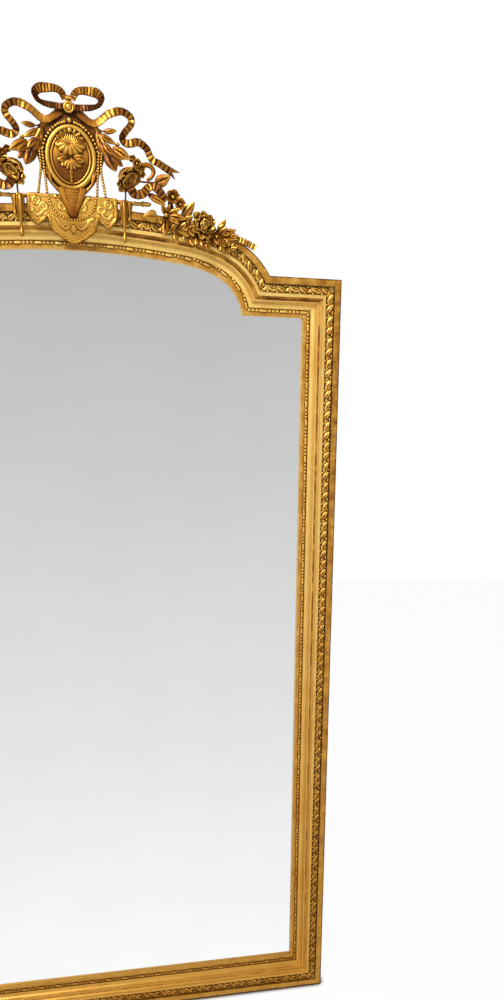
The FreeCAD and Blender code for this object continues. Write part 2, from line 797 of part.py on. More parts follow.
def rose_side_leaf(place):
    """A thin stem that leaves the rose sideways and carries one leaf."""
    out, rise = rose_stem_share
    along = Vector(out * crest_reach, 0, rise * crest_height)
    start = place + point(0, stem_diameter / 2, 0)
    stem = Part.makeCylinder(stem_diameter / 2 * stem_taper_share, along.Length, start, along)
    length, width = [share * crest_reach for share in rose_leaf_share]
    root = place + along - heading(rose_leaf_heading_deg) * (stem_diameter * leaf_set_back_share)
    return [stem, leaf(root, length, width, rose_leaf_heading_deg)]


def lower_ribbon():
    """A fold of ribbon from under the rose to the flowers on the arch."""
    depth = frame_depth + stem_diameter + ribbon_thickness / 2
    places = [crest(share, depth) for share in lower_ribbon_shares]
    return ribbon(places, lower_ribbon_width)


def end_ribbon():
    """The gathered ribbon end that lies on the arch's outer edge beyond the leaves."""
    depth = frame_depth + ribbon_thickness / 2
    places = [arch_place(beyond_crest(x), moulding_width + lift * crest_height, depth)
              for x, lift in end_ribbon_shares]
    return ribbon(places, end_ribbon_width)


def pearl_strands():
    """Two strings of pearls that hang from the hood to the lambrequin's top edge."""
    top = crown_height + strand_top_share * crest_height
    low = lambrequin_top()
    front = ground_front + pearl_height + strand_diameter / 2
    middle = frame_depth + lambrequin_thickness / 2
    strands = []
    for start_share, end_share in (inner_strand_shares, outer_strand_shares):
        start = point(start_share * crest_reach, front, top)
        end = point(end_share * crest_reach, middle, low)
        rod = Part.makeCylinder(strand_diameter / 2, (end - start).Length + overrun, start, end - start)
        strands.append(rod.cut(block(0, crest_reach, 0, crest_reach, low - crest_height, low)))
    return strands


def pearl_swag():
    """A festoon of pearls across the lambrequin's front, as part of a round."""
    radius = (swag_half_span ** 2 + swag_fall ** 2) / (2 * swag_fall)
    depth = crest_front + strand_diameter / 2
    top = lambrequin_top()
    centre = point(0, depth, top - swag_fall + radius)
    turn = math.atan2(swag_half_span, radius - swag_fall)
    start = centre + Vector(-math.sin(turn), 0, -math.cos(turn)) * radius
    disc = Part.Face(Part.Wire(Part.makeCircle(strand_diameter / 2, start, Vector(math.cos(turn), 0, -math.sin(turn)))))
    return disc.revolve(centre, Vector(0, -1, 0), math.degrees(2 * turn))


def tassel():
    """A folded drop with a bud at its tip, flat against the frame's outer fillet."""
    top = lambrequin_top()
    places = [point(tassel_place, frame_depth, top)]
    for z, radius in tassel_radius_shares:
        places.append(point(tassel_place + radius * tassel_radius, frame_depth, top - z * tassel_drop))
    places.append(point(tassel_place, frame_depth, top - tassel_drop))
    face = Part.Face(Part.makePolygon(places + places[:1]))
    return face.revolve(places[0], Vector(0, 0, 1), -180)


def twig():
    """A round twig that runs out level from behind the lambrequin and ends in an acorn."""
    half = twig_diameter / 2
    nut = acorn_diameter / 2
    along = Vector(1, 0, 0)
    start = point(lambrequin_width / 2 - twig_lap, frame_depth - half, crown_height + twig_rise)
    end = point(twig_end - acorn_length, frame_depth - half, crown_height + twig_rise)
    rail = Part.makeCylinder(half, end.x - start.x, start, along)
    brim = acorn_length * acorn_cup_share
    cup = Part.makeCone(half, nut, brim, end, along)
    tip = Part.makeCone(nut, half / 2, acorn_length - brim, end + along * brim, along)
    return rail.multiFuse([cup, tip])


def build():
    """Every piece, by name."""
    sill, stile, shoulder = straight_runs(frame_section())
    arch = arch_run(frame_section())
    keys = [corner_key(0, 1), corner_key(shoulder_height, -1)]
    screws = [wood_screw(hanger_x(), strap_front, hanger_height - drop) for drop in strap_screw_places]
    batten = crest_batten()
    back_screws = batten_screws()
    stile = stile.cut(hanger_recess()).cut(Part.makeCompound(keys + screws))
    shoulder = shoulder.cut(keys[1])
    sill = sill.cut(Part.makeCompound([keys[0], mirrored(keys[0])]))
    arch = arch.cut(batten).cut(back_screws[0])
    bead_sill, bead_stile, bead_shoulder = straight_runs(bead_section())
    leaf_sill, leaf_stile, leaf_shoulder = straight_runs(laurel_section())
    strap = hanger_strap().cut(Part.makeCompound(screws))
    all_screws = screws + [mirrored(screw) for screw in screws] + list(back_screws)
    pieces = {
        "bottom_rail": sill,
        "bead_rail_bottom": bead_sill,
        "laurel_band_bottom": leaf_sill,
        "mirror_glass": sight_plate(glass_rebate - glass_clearance, lip_back - glass_thickness, glass_thickness),
        "glass_wedges": glass_wedges(),
        "corner_keys": Part.makeCompound(keys + [mirrored(key) for key in keys]),
        "screws": Part.makeCompound(all_screws),
        "crest_batten": batten.cut(Part.makeCompound(back_screws)),
        "cartouche_ground": cartouche_ground(),
        "cartouche_rim": oval_ring(-rim_width, 0, rim_height),
        "cartouche_plaque": oval_plate(-rim_width, ground_front, plaque_thickness),
        "pearl_border": oval_ring(pearl_gap, pearl_gap + pearl_cord, pearl_height),
        "shell_relief": shell_relief(),
        "cartouche_drop": cartouche_drop(),
        "bow_knot": bow_knot(),
        "lambrequin": lambrequin(),
        "pearl_swag": pearl_swag(),
    }
    for number, board in enumerate(back_boards(), 1):
        pieces["back_board_%d" % number] = board
    stem = sprig()
    full_rose = rose().cut(stem)
    fold = lower_ribbon().cut(full_rose)
    offset = (leaf_seat_end + moulding_width) / 2
    lily = flower(arch_place(lily_share * crest_reach, offset, frame_depth), lily_size_shares,
                  lily_count, lily_lift_deg)
    bloom = flower(arch_place(beyond_crest(bloom_share), offset, frame_depth), bloom_size_shares,
                   bloom_count, bloom_lift_deg)
    lily = lily.cut(fold)
    blossom = flower(crest(blossom_place_share, frame_depth), blossom_size_shares, blossom_count, blossom_lift_deg)
    blossom = blossom.cut(fold).cut(lily)
    leaves = arch_leaves().cut(lily).cut(bloom).cut(blossom)
    sided = {
        "stile": stile,
        "shoulder": shoulder,
        "arch": arch,
        "bead_rails": Part.makeCompound([bead_stile, bead_shoulder, arch_run(bead_section())]),
        "laurel_bands": Part.makeCompound([leaf_stile, leaf_shoulder, arch_run(laurel_section())]),
        "hanger_strap": strap,
        "hanger_ring": hanger_ring(),
        "bow_loop": bow_loop(),
        "streamer": streamer(),
        "lower_ribbon": fold,
        "end_ribbon": end_ribbon().cut(leaves),
        "sprig": stem,
        "arch_leaves": leaves,
        "rose": full_rose,
        "lily_and_blossom": Part.makeCompound([lily, blossom]),
        "bloom": bloom,
        "pearl_strands": Part.makeCompound(pearl_strands()),
        "tassel": tassel(),
        "twig": twig(),
    }
    for name, shape in sided.items():
        pieces[name + "_right"] = shape
        pieces[name + "_left"] = mirrored(shape)
    return pieces


os.makedirs("parts", exist_ok=True)
for name, shape in build().items():
    shape.exportStep("parts/%s.step" % name)
    print(name, len(shape.Solids), shape.isValid(), round(shape.Volume))
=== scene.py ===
import json
import math
import random

import bpy
from mathutils import Matrix, Vector


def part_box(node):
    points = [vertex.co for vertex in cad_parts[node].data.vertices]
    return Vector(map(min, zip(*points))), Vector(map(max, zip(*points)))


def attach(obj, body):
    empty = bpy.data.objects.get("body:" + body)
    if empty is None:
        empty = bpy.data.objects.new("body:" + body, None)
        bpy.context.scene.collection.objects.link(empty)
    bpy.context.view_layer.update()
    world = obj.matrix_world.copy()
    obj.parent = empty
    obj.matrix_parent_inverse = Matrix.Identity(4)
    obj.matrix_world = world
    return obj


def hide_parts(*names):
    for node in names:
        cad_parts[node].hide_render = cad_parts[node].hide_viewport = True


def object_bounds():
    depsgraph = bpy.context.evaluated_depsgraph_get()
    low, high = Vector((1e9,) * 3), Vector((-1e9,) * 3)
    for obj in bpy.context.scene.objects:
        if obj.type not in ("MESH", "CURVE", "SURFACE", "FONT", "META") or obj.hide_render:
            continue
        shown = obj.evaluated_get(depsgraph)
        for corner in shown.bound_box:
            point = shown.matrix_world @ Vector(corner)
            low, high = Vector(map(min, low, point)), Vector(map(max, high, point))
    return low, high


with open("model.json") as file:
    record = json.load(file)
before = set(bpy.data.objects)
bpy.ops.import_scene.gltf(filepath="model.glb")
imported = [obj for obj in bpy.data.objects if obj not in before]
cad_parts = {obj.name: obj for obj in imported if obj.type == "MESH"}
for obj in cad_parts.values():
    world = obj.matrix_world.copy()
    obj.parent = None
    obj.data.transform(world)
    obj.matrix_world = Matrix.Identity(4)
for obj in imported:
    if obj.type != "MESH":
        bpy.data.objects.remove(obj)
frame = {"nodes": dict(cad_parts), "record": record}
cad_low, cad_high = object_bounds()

# A giltwood mirror, dressed over its solids. X runs to the viewer's right, Z up, and the front
# faces -Y. Pieces are modelled in millimetres and brought to metres when they are finished.
# A depth is measured forward from the wall.
millimetre = 0.001

# The frame, from the solids and from the sizes of its moulding
half_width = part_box("stile_right")[1].x / millimetre
shoulder_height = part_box("stile_right")[1].z / millimetre
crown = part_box("arch_right")[1].z / millimetre
frame_depth = -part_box("stile_right")[0].y / millimetre
moulding_width = 81
sight_half = half_width - moulding_width
sight_shoulder = shoulder_height - moulding_width
shoulder_length = 139.4
crown_radius = 1775
haunch_radius = 260
spring_radius = 98
spring_drop = 10.8
haunch_turn = math.radians(24.7)
foot_turn = math.radians(100)
spring_x = sight_half - shoulder_length - math.sqrt(spring_radius ** 2 - spring_drop ** 2)
spring_z = sight_shoulder - spring_drop
haunch_x = spring_x - (haunch_radius - spring_radius) * math.sin(haunch_turn)
haunch_z = spring_z - (haunch_radius - spring_radius) * math.cos(haunch_turn)
crown_turn = math.asin(haunch_x / (crown_radius - haunch_radius))
crown_z = haunch_z - (crown_radius - haunch_radius) * math.cos(crown_turn)
arcs = ((0, crown_z, crown_radius, 0, crown_turn),
        (haunch_x, haunch_z, haunch_radius, crown_turn, haunch_turn),
        (spring_x, spring_z, spring_radius, haunch_turn, foot_turn))

# Seats on the moulding
bead_seat = 27
bead_line = 11
bead_repeat = 42
leaf_seat = 47.5
leaf_line = 56.2
leaf_repeat = 46

# Depths and heights of the crest
ground_front = 50
crest_front = 64
pelmet_top = 14
oval_rise = 88.6
oval_half = (52, 61.5)
oval_end = 43
rim_width = 17


def at(x, depth, z):
    """A place given by its depth forward from the wall."""
    return Vector((x, -depth, z))


def crest(x, depth, rise):
    """A place on the crest, by its rise over the crown of the arch."""
    return at(x, depth, crown + rise)


def on_arch(x, offset, depth):
    """The place over x on the arch's sight edge moved out by an offset."""
    for centre_x, centre_z, radius, start, end in arcs:
        if x <= centre_x + (radius + offset) * math.sin(end):
            break
    return at(x, depth, centre_z + math.sqrt((radius + offset) ** 2 - (x - centre_x) ** 2))


def along(values, share):
    """A value part of the way along a list of values."""
    spot = share * (len(values) - 1)
    first = min(int(spot), len(values) - 2)
    return values[first] + (values[first + 1] - values[first]) * (spot - first)


# Modelling

def take(piece):
    """Selects one piece and nothing else."""
    bpy.ops.object.select_all(action="DESELECT")
    piece.select_set(True)
    bpy.context.view_layer.objects.active = piece


def shape(piece, kind, **settings):
    """Adds a modifier and applies it."""
    take(piece)
    modifier = piece.modifiers.new(kind.lower(), kind)
    for name, value in settings.items():
        setattr(modifier, name, value)
    bpy.ops.object.modifier_apply(modifier=modifier.name)
    return piece


def close(piece):
    """Merges doubled points and turns every face outward."""
    take(piece)
    bpy.ops.object.mode_set(mode="EDIT")
    bpy.ops.mesh.select_all(action="SELECT")
    bpy.ops.mesh.remove_doubles(threshold=0.01)
    bpy.ops.mesh.normals_make_consistent(inside=False)
    bpy.ops.object.mode_set(mode="OBJECT")
    return piece


def sheet(columns, rows, place, thickness=0.0):
    """A grid bent to a carved surface. Place takes the shares along and across, and gives a point
    and its tone: how much dark wax and painted shade lie there, from none to one."""
    bpy.ops.object.select_all(action="DESELECT")
    bpy.ops.mesh.primitive_grid_add(x_subdivisions=columns, y_subdivisions=rows, size=2)
    piece = bpy.context.active_object
    tone = piece.data.attributes.new("tone", "FLOAT", "POINT")
    for vertex in piece.data.vertices:
        spot, shade = place((vertex.co.x + 1) / 2, (vertex.co.y + 1) / 2)
        vertex.co = spot
        tone.data[vertex.index].value = shade
    if thickness:
        close(piece)
        shape(piece, "SOLIDIFY", thickness=thickness, offset=0.0)
    return close(piece)


def ball(radius, place, squash=(1, 1, 1), segments=10, rings=6):
    """A carved bead: a ball pressed along the axes, with painted shade round its back."""
    bpy.ops.object.select_all(action="DESELECT")
    bpy.ops.mesh.primitive_uv_sphere_add(segments=segments, ring_count=rings, radius=radius)
    piece = bpy.context.active_object
    tone = piece.data.attributes.new("tone", "FLOAT", "POINT")
    # Painted shade: darker towards the back, where the ball turns away.
    for vertex in piece.data.vertices:
        tone.data[vertex.index].value = max(0.0, 0.85 * (vertex.co.y / radius + 0.55))
    piece.data.transform(Matrix.Translation(place) @ Matrix.Diagonal((*squash, 1)))
    return piece


def copied(piece, matrix):
    """A copy of a piece with its own mesh, put where a matrix says."""
    twin = bpy.data.objects.new(piece.name, piece.data.copy())
    bpy.context.scene.collection.objects.link(twin)
    twin.data.transform(matrix)
    if matrix.determinant() < 0:
        twin.data.flip_normals()
    return twin


def merged(pieces):
    """Joins pieces into the first of them."""
    bpy.ops.object.select_all(action="DESELECT")
    for piece in pieces:
        piece.select_set(True)
    bpy.context.view_layer.objects.active = pieces[0]
    if len(pieces) > 1:
        bpy.ops.object.join()
    return pieces[0]


def strewn(pattern, matrices):
    """Many copies of one pattern in a single mesh. The pattern itself is removed."""
    points, faces = [], []
    own = [vertex.co.copy() for vertex in pattern.data.vertices]
    shades = [item.value for item in pattern.data.attributes["tone"].data]
    sides = [tuple(polygon.vertices) for polygon in pattern.data.polygons]
    for matrix in matrices:
        first = len(points)
        points += [matrix @ point for point in own]
        faces += [tuple(first + index for index in side) for side in sides]
    mesh = bpy.data.meshes.new("strewn")
    mesh.from_pydata(points, [], faces)
    mesh.attributes.new("tone", "FLOAT", "POINT").data.foreach_set("value", shades * len(matrices))
    piece = bpy.data.objects.new("strewn", mesh)
    bpy.context.scene.collection.objects.link(piece)
    bpy.data.objects.remove(pattern)
    return piece


def finished(name, piece, material, node, angle=40):
    """Gives a carved piece its name, finish and body, and the solid that it stands for."""
    piece.name = name
    piece.data.name = name
    piece.data.materials.clear()
    piece.data.materials.append(material)
    take(piece)
    bpy.ops.object.shade_smooth_by_angle(angle=math.radians(angle))
    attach(piece, "frame")
    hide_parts(node)


def carved(name, pieces, material, node, angle=40):
    """One carved piece in metres, from its parts."""
    piece = merged(pieces)
    piece.data.transform(Matrix.Scale(millimetre, 4))
    finished(name, piece, material, node, angle)
    return piece


def both(name, pieces, material, node, angle=40):
    """A right-hand piece and its mirrored left-hand twin."""
    right = carved(name + "_carved_right", pieces, material, node + "_right", angle)
    left = copied(right, Matrix.Scale(-1, 4, (1, 0, 0)))
    finished(name + "_carved_left", left, material, node + "_left", angle)


# Materials

def linear(code):
    """An sRGB hex colour as linear values."""
    parts = [int(code[index:index + 2], 16) / 255 for index in (1, 3, 5)]
    return [part / 12.92 if part <= 0.04045 else ((part + 0.055) / 1.055) ** 2.4 for part in parts] + [1.0]


def add(tree, kind, inputs=(), **settings):
    """Adds a node, sets its properties, and sets or links its inputs by name or number."""
    node = tree.nodes.new("ShaderNode" + kind)
    for name, value in settings.items():
        setattr(node, name, value)
    for name, value in dict(inputs).items():
        if isinstance(value, bpy.types.NodeSocket):
            tree.links.new(value, node.inputs[name])
        else:
            node.inputs[name].default_value = value
    return node


def ramp(tree, factor, stops):
    """A colour ramp between hex colours at given places."""
    node = add(tree, "ValToRGB", {"Fac": factor})
    while len(node.color_ramp.elements) < len(stops):
        node.color_ramp.elements.new(0.5)
    for element, (place, code) in zip(node.color_ramp.elements, stops):
        element.position = place
        element.color = linear(code)
    return node.outputs["Color"]


def begin(name):
    """A new material with its tree, surface shader and object coordinates."""
    material = bpy.data.materials.new(name)
    material.use_nodes = True
    tree = material.node_tree
    shader = tree.nodes["Principled BSDF"]
    coords = add(tree, "TexCoord").outputs["Object"]
    return material, tree, shader, coords


def size_of(length):
    """A texture scale whose features are about a length in millimetres."""
    return 1 / (length * millimetre)


def noise(tree, coords, length, detail, roughness=0.5, distortion=0.0):
    """Soft noise whose features are about a length in millimetres."""
    return add(tree, "TexNoise", {"Vector": coords, "Scale": size_of(length), "Detail": detail,
                                  "Roughness": roughness, "Distortion": distortion}).outputs["Fac"]


def worked(tree, operation, *values):
    """The result of a sum on sockets and numbers."""
    return add(tree, "Math", dict(enumerate(values)), operation=operation).outputs[0]


def eased(tree, value, start, end, low=0.0, high=1.0):
    """A value's way from a start to an end, brought between low and high and held there."""
    return add(tree, "MapRange", {"Value": value, "From Min": start, "From Max": end,
                                  "To Min": low, "To Max": high}).outputs[0]


def mixed(tree, share, first, second, kind="MIX"):
    """Two colours mixed by a share."""
    return add(tree, "Mix", {0: share, 6: first, 7: second}, data_type="RGBA", blend_type=kind).outputs[2]


def axes_of(tree, vector):
    """A vector's three parts."""
    parts = add(tree, "SeparateXYZ", {0: vector}).outputs
    return parts["X"], parts["Y"], parts["Z"]


def facing_of(tree):
    """Which way the surface faces, as three parts."""
    return axes_of(tree, add(tree, "NewGeometry").outputs["Normal"])


def quirk_wax_and_shade(tree, coords):
    """Dark wax and painted shade on the plain moulding, found by depth: painted shade on its lip, step and
    down-facing hollow, wax with painted shade in its quirks, and wax on its rubbed outer fillet;
    red bole on its worn outer edge and its sides, and a painted shadow along its bottom edge."""
    # The lip and step bands are painted shade, the quirk bands are wax with painted shade, and the fillet band
    # is wax.
    lip = (bead_seat, 0.15, 0.24)
    first_quirk = (28.6, 1.4, 0.8)
    step = (43.0, 0.9, 0.45)
    last_quirk = (54.6, 2.8, 0.95)
    fillet = (frame_depth, 0.5, 0.33)
    worn_and_shaded_edge = 3.0
    x, y, z = axes_of(tree, coords)
    up = facing_of(tree)[2]
    depth = worked(tree, "MULTIPLY", y, -1 / millimetre)
    total = 0.0
    for middle, half, strength in (lip, first_quirk, step, last_quirk, fillet):
        band = worked(tree, "COMPARE", depth, middle, half)
        total = worked(tree, "MULTIPLY_ADD", band, strength, total)
    # Painted shade on the down-facing faces of the hollow, where light from above does not reach.
    hollow = worked(tree, "COMPARE", depth, 46.8, 3.6)
    shaded = worked(tree, "MULTIPLY", hollow, worked(tree, "LESS_THAN", up, -0.3))
    total = worked(tree, "MULTIPLY_ADD", shaded, 0.3, total)
    total = worked(tree, "MULTIPLY", total, eased(tree, z, 0.0, 1.5, 0.3, 1.0))
    upward = worked(tree, "GREATER_THAN", up, 0.08)
    high = worked(tree, "GREATER_THAN", z, shoulder_height * 0.97 * millimetre)
    top = worked(tree, "MULTIPLY", upward, high)
    flank = worked(tree, "GREATER_THAN", worked(tree, "ABSOLUTE", x), (half_width - worn_and_shaded_edge) * millimetre)
    # Painted shadow: a dark band along the bottom edge, as under the frame; the sides and outer edge take red
    # bole.
    under = worked(tree, "LESS_THAN", z, worn_and_shaded_edge * millimetre)
    side = worked(tree, "MAXIMUM", top, worked(tree, "MAXIMUM", flank, under))
    return worked(tree, "MAXIMUM", total, worked(tree, "MULTIPLY", side, 0.55))


def gilding(name, light, deep, shade_reach, shade_start, shine, plain=False):
    """Gold leaf laid on red bole over gesso, rubbed on high parts and toned with wax and painted shade in the
    hollows.
    The eye sees warm broken gold, red-brown where leaf is thin, dark wax with painted shade in the carving's
    recesses, painted shade that browns the frame towards its foot, and bare wood at the back."""
    material, tree, shader, coords = begin(name)
    cloud = noise(tree, coords, 90, 3.0, 0.55)
    leaf = ramp(tree, cloud, ((0.3, deep), (0.5, light), (0.72, deep)))
    rub = noise(tree, coords, 8, 6.0, 0.7)
    bole = mixed(tree, eased(tree, rub, 0.58, 0.75, 0.0, 0.5), leaf, linear("#8a5420"))
    # Painted shade: the gold darkens where ambient occlusion finds a recess.
    shade = add(tree, "AmbientOcclusion", {"Distance": shade_reach * millimetre}, samples=6)
    hollow = eased(tree, shade.outputs["AO"], 0.12, shade_start, 1.05, 0.0)
    # The tone attribute carries dark wax and painted shade laid on the carved pieces.
    wax_and_shade = add(tree, "Attribute", attribute_name="tone")
    laid = worked(tree, "ADD", hollow, wax_and_shade.outputs["Fac"])
    broken = eased(tree, rub, 0.3, 0.7, 0.75, 1.2)
    # Painted shade: the gold browns towards the foot of the frame, standing for the light falling off there.
    foot = eased(tree, axes_of(tree, coords)[2], 1.75, 0.1, 0.0, 0.2)
    uneven = eased(tree, noise(tree, coords, 30, 4.0, 0.65), 0.35, 0.65, 0.45, 1.5)
    wax_and_foot_shade = worked(tree, "MULTIPLY_ADD", quirk_wax_and_shade(tree, coords) if plain else 0.0, uneven, foot)
    spread = worked(tree, "MULTIPLY_ADD", laid, broken, wax_and_foot_shade)
    # Colours for wax and painted shade together, from none to the darkest.
    tint = ramp(tree, spread, ((0.0, "#ffffff"), (0.22, "#d4bc90"), (0.5, "#906c42"), (1.0, "#2b190b")))
    colour = mixed(tree, 1.0, bole, tint, "MULTIPLY")
    bare = worked(tree, "GREATER_THAN", facing_of(tree)[1], 0.5)
    wood = ramp(tree, rub, ((0.35, "#6b4c2d"), (0.65, "#94714a")))
    metal = eased(tree, spread, 0.0, 1.0, shine, 0.2)
    lustre = worked(tree, "MULTIPLY", metal, worked(tree, "SUBTRACT", 1.0, bare))
    grain = noise(tree, coords, 3, 3.0)
    bump = add(tree, "Bump", {"Height": grain, "Strength": 0.15, "Distance": 0.4 * millimetre})
    tree.links.new(mixed(tree, bare, colour, wood), shader.inputs["Base Color"])
    tree.links.new(eased(tree, rub, 0.3, 0.75, 0.3, 0.5), shader.inputs["Roughness"])
    tree.links.new(lustre, shader.inputs["Metallic"])
    tree.links.new(bump.outputs["Normal"], shader.inputs["Normal"])
    shader.inputs["Specular IOR Level"].default_value = 0.2
    return material


def silvered_glass():
    """Silvered plate glass: a near perfect mirror with a faint cool tint and slight wiping marks,
    and dull grey backing paint behind the silver."""
    material, tree, shader, coords = begin("silvered_plate_glass")
    tint = ramp(tree, noise(tree, coords, 180, 2.0), ((0.3, "#f8faf9"), (0.7, "#fbfcfc")))
    painted = worked(tree, "GREATER_THAN", facing_of(tree)[1], 0.5)
    tree.links.new(mixed(tree, painted, tint, linear("#5a5753")), shader.inputs["Base Color"])
    tree.links.new(worked(tree, "SUBTRACT", 1.0, painted), shader.inputs["Metallic"])
    tree.links.new(eased(tree, painted, 0.0, 1.0, 0.01, 0.7), shader.inputs["Roughness"])
    return material


def old_pine():
    """Planed pine, browned by age and dust: long grain up the boards and a dry dull face."""
    material, tree, shader, coords = begin("old_planed_pine")
    stretch = add(tree, "Mapping", {"Vector": coords, "Scale": (1.0, 1.0, 0.06)})
    grain = noise(tree, stretch.outputs[0], 7, 6.0, distortion=0.6)
    colour = ramp(tree, grain, ((0.3, "#5b3d22"), (0.5, "#8a6238"), (0.7, "#a67c4c")))
    bump = add(tree, "Bump", {"Height": grain, "Strength": 0.25, "Distance": 0.5 * millimetre})
    tree.links.new(colour, shader.inputs["Base Color"])
    tree.links.new(bump.outputs["Normal"], shader.inputs["Normal"])
    shader.inputs["Roughness"].default_value = 0.78
    return material


def dull_steel():
    """Forged steel hardware gone dull: dark grey with brown spots of old rust."""
    material, tree, shader, coords = begin("dull_forged_steel")
    spots = noise(tree, coords, 4, 5.0)
    colour = ramp(tree, spots, ((0.4, "#6a6763"), (0.62, "#55504b"), (0.75, "#5c3d28")))
    tree.links.new(colour, shader.inputs["Base Color"])
    tree.links.new(eased(tree, spots, 0.0, 1.0, 0.3, 0.65), shader.inputs["Roughness"])
    shader.inputs["Metallic"].default_value = 0.9
    return material


gilt = gilding("water_gilding_on_bole", "#f5cd74", "#ebbd62", 5, 0.55, 0.6, True)
carving_gilt = gilding("carved_water_gilding", "#e0af4e", "#b58232", 13, 0.88, 0.7)
running_gilt = gilding("water_gilding_on_running_carving", "#efc466", "#d9a548", 6, 0.7, 0.4)
glass = silvered_glass()
pine = old_pine()
steel = dull_steel()


# Runs of the moulding

def runs(offset):
    """Routes on the right half, moved out from the sight edge by an offset, as fine points."""
    side = sight_half + offset
    low = moulding_width - offset
    top = sight_shoulder + offset
    foot = math.sqrt((spring_radius + offset) ** 2 - (top - spring_z) ** 2) + spring_x
    arch = []
    steps = 24
    for centre_x, centre_z, radius, start, end in arcs:
        last = min(end, math.acos((top - centre_z) / (radius + offset)))
        for step in range(steps):
            turn = start + (last - start) * step / (steps - 1)
            arch.append((centre_x + (radius + offset) * math.sin(turn),
                         centre_z + (radius + offset) * math.cos(turn)))
    return {"bottom": [(-side, low), (side, low)],
            "stile": [(side, low), (side, top)],
            "shoulder": [(side, top), (foot, top)],
            "arch": list(reversed(arch))}


def spaced(route, spacing, depth):
    """Frames along a route in whole repeats: Z along it, X outward from the sight, -Y forward."""
    points = [Vector((x, 0, z)) for x, z in route]
    lengths = [(b - a).length for a, b in zip(points, points[1:])]
    total = sum(lengths)
    count = max(1, round(total / spacing))
    out = []
    for number in range(count):
        left = number * total / count
        for start, end, length in zip(points, points[1:], lengths):
            if left <= length and length:
                break
            left -= length
        ahead = (end - start).normalized()
        axes = Matrix((Vector((ahead.z, 0, -ahead.x)), Vector((0, 1, 0)), ahead)).transposed().to_4x4()
        stretch = Matrix.Scale(total / count / spacing, 4, (0, 0, 1))
        out.append(Matrix.Translation(start + ahead * left + at(0, depth, 0)) @ axes @ stretch)
    return out


def bead_pattern():
    """One repeat of bead and reel: a long reel with rounded ends, then three beads."""
    reel = ball(3.9, at(0, 1.4, 9), (1, 0.85, 2.1), 12, 8)
    for vertex in reel.data.vertices:
        end = max(-1.0, min(1.0, (vertex.co.z - 9) / 8.2))
        reach = math.hypot(vertex.co.x, vertex.co.y + 1.4)
        if reach > 0.5:
            swell = 3.7 * (1 - abs(end) ** 8) ** 0.5 / reach
            vertex.co.x *= swell
            vertex.co.y = -1.4 + (vertex.co.y + 1.4) * swell * 0.85
    beads = [ball(3.5, at(0, 1.4, place), (1, 0.9, 1), 9, 6) for place in (21.5, 29.5, 37.5)]
    pattern = merged([reel] + beads)
    tone = pattern.data.attributes["tone"].data
    # Painted shade on the sides of the beads and reel, with wax in the grooves beside them.
    for vertex in pattern.data.vertices:
        tone[vertex.index].value += 0.9 * (abs(vertex.co.x) / 3.7) ** 4
    return pattern


def leaf_blade(length, width, broad=0.85, bow=0.16, crease=0.1, curl=0.1, shade=0.0, thickness=2.2, veins=6,
               columns=14, rows=8):
    """A carved pointed leaf that grows up from the origin: bowed across, creased and veined."""
    def place(u, v):
        side = 2 * v - 1
        half = 0.5 * width * abs(math.sin(math.pi * u ** broad)) ** 0.8
        rib = math.exp(-(side / 0.16) ** 2)
        vein = max(0.0, math.cos(2 * math.pi * (veins * u - 0.9 * abs(side))))
        body = abs(math.sin(math.pi * min(0.97, u)))
        depth = bow * width * (1 - side * side) * body - crease * width * rib * body + curl * length * u * u
        depth += 0.02 * width * vein * body
        # Painted shade in the midrib crease, between the veins, at the root and along the edges; shade darkens
        # the whole leaf.
        tone = shade + 0.75 * rib * body + 0.28 * (1 - vein) * body
        tone += 0.6 * (1 - u) ** 4 + 0.5 * abs(side) ** 10
        return at(side * half, depth, u * length), tone
    return sheet(columns, rows, place, thickness)


def grown(blade, root, heading, lift=0.0, roll=0.0, size=1.0):
    """A copy of a leaf or petal at a root, headed clockwise from straight up and lifted forward."""
    turn = Matrix.Rotation(math.radians(heading), 4, "Y") @ Matrix.Rotation(math.radians(lift), 4, "X")
    return copied(blade, Matrix.Translation(root) @ turn @ Matrix.Rotation(math.radians(roll), 4, "Z")
                  @ Matrix.Scale(size, 4))


def leaf(root, tip, width, depth, lift=4.0, **form):
    """A leaf from its root to its tip, given across and over the crown of the arch."""
    out, up = tip[0] - root[0], tip[1] - root[1]
    blade = leaf_blade(math.hypot(out, up), width, **form)
    piece = grown(blade, crest(root[0], depth, root[1]), math.degrees(math.atan2(out, up)), lift)
    bpy.data.objects.remove(blade)
    return piece


def laurel_pattern():
    """One repeat of the laurel band: slanted veined leaves over one another, and berries."""
    blade = leaf_blade(27, 12.5, 0.9, 0.24, 0.14, 0.03, -0.15, 1.6, 4, 8, 6)
    lie = ((-7.5, 0.6, -2, 36, 0.95), (7.5, 0.6, 10, -36, 0.85),
           (-4.5, 1.6, 17, 24, 0.95), (6.5, 0.8, 27, -30, 0.8))
    leaves = [grown(blade, at(x, depth, z), heading, 6, 0, size) for x, depth, z, heading, size in lie]
    bpy.data.objects.remove(blade)
    spots = ((7, 2), (-7, 17), (7, 24), (-6.6, 36), (6.6, 45))
    berries = [ball(2.5, at(x, 2.4, z), (1, 1, 1), 8, 5) for x, z in spots]
    return merged(leaves + berries)


def core_strip(route, half, depth, height):
    """A low rounded strip along a route, dark with wax and painted shade, which the leaves of the band grow
    from.
    """
    points = [Vector((x, 0, z)) for x, z in route]
    last = len(points) - 1

    def place(u, v):
        index = min(int(u * last + 0.001), last - 1)
        start, end = points[index], points[index + 1]
        ahead = (end - start).normalized() if (end - start).length else Vector((0, 0, 1))
        middle = start + (end - start) * (u * last - index)
        side = 2 * v - 1
        across = Vector((ahead.z, 0, -ahead.x)) * (side * half)
        # Its tone is painted shade in the gaps between the leaves and beads, with wax.
        return middle + across + at(0, depth + height * (1 - side ** 4), 0), 0.3
    return sheet(last, 6, place)


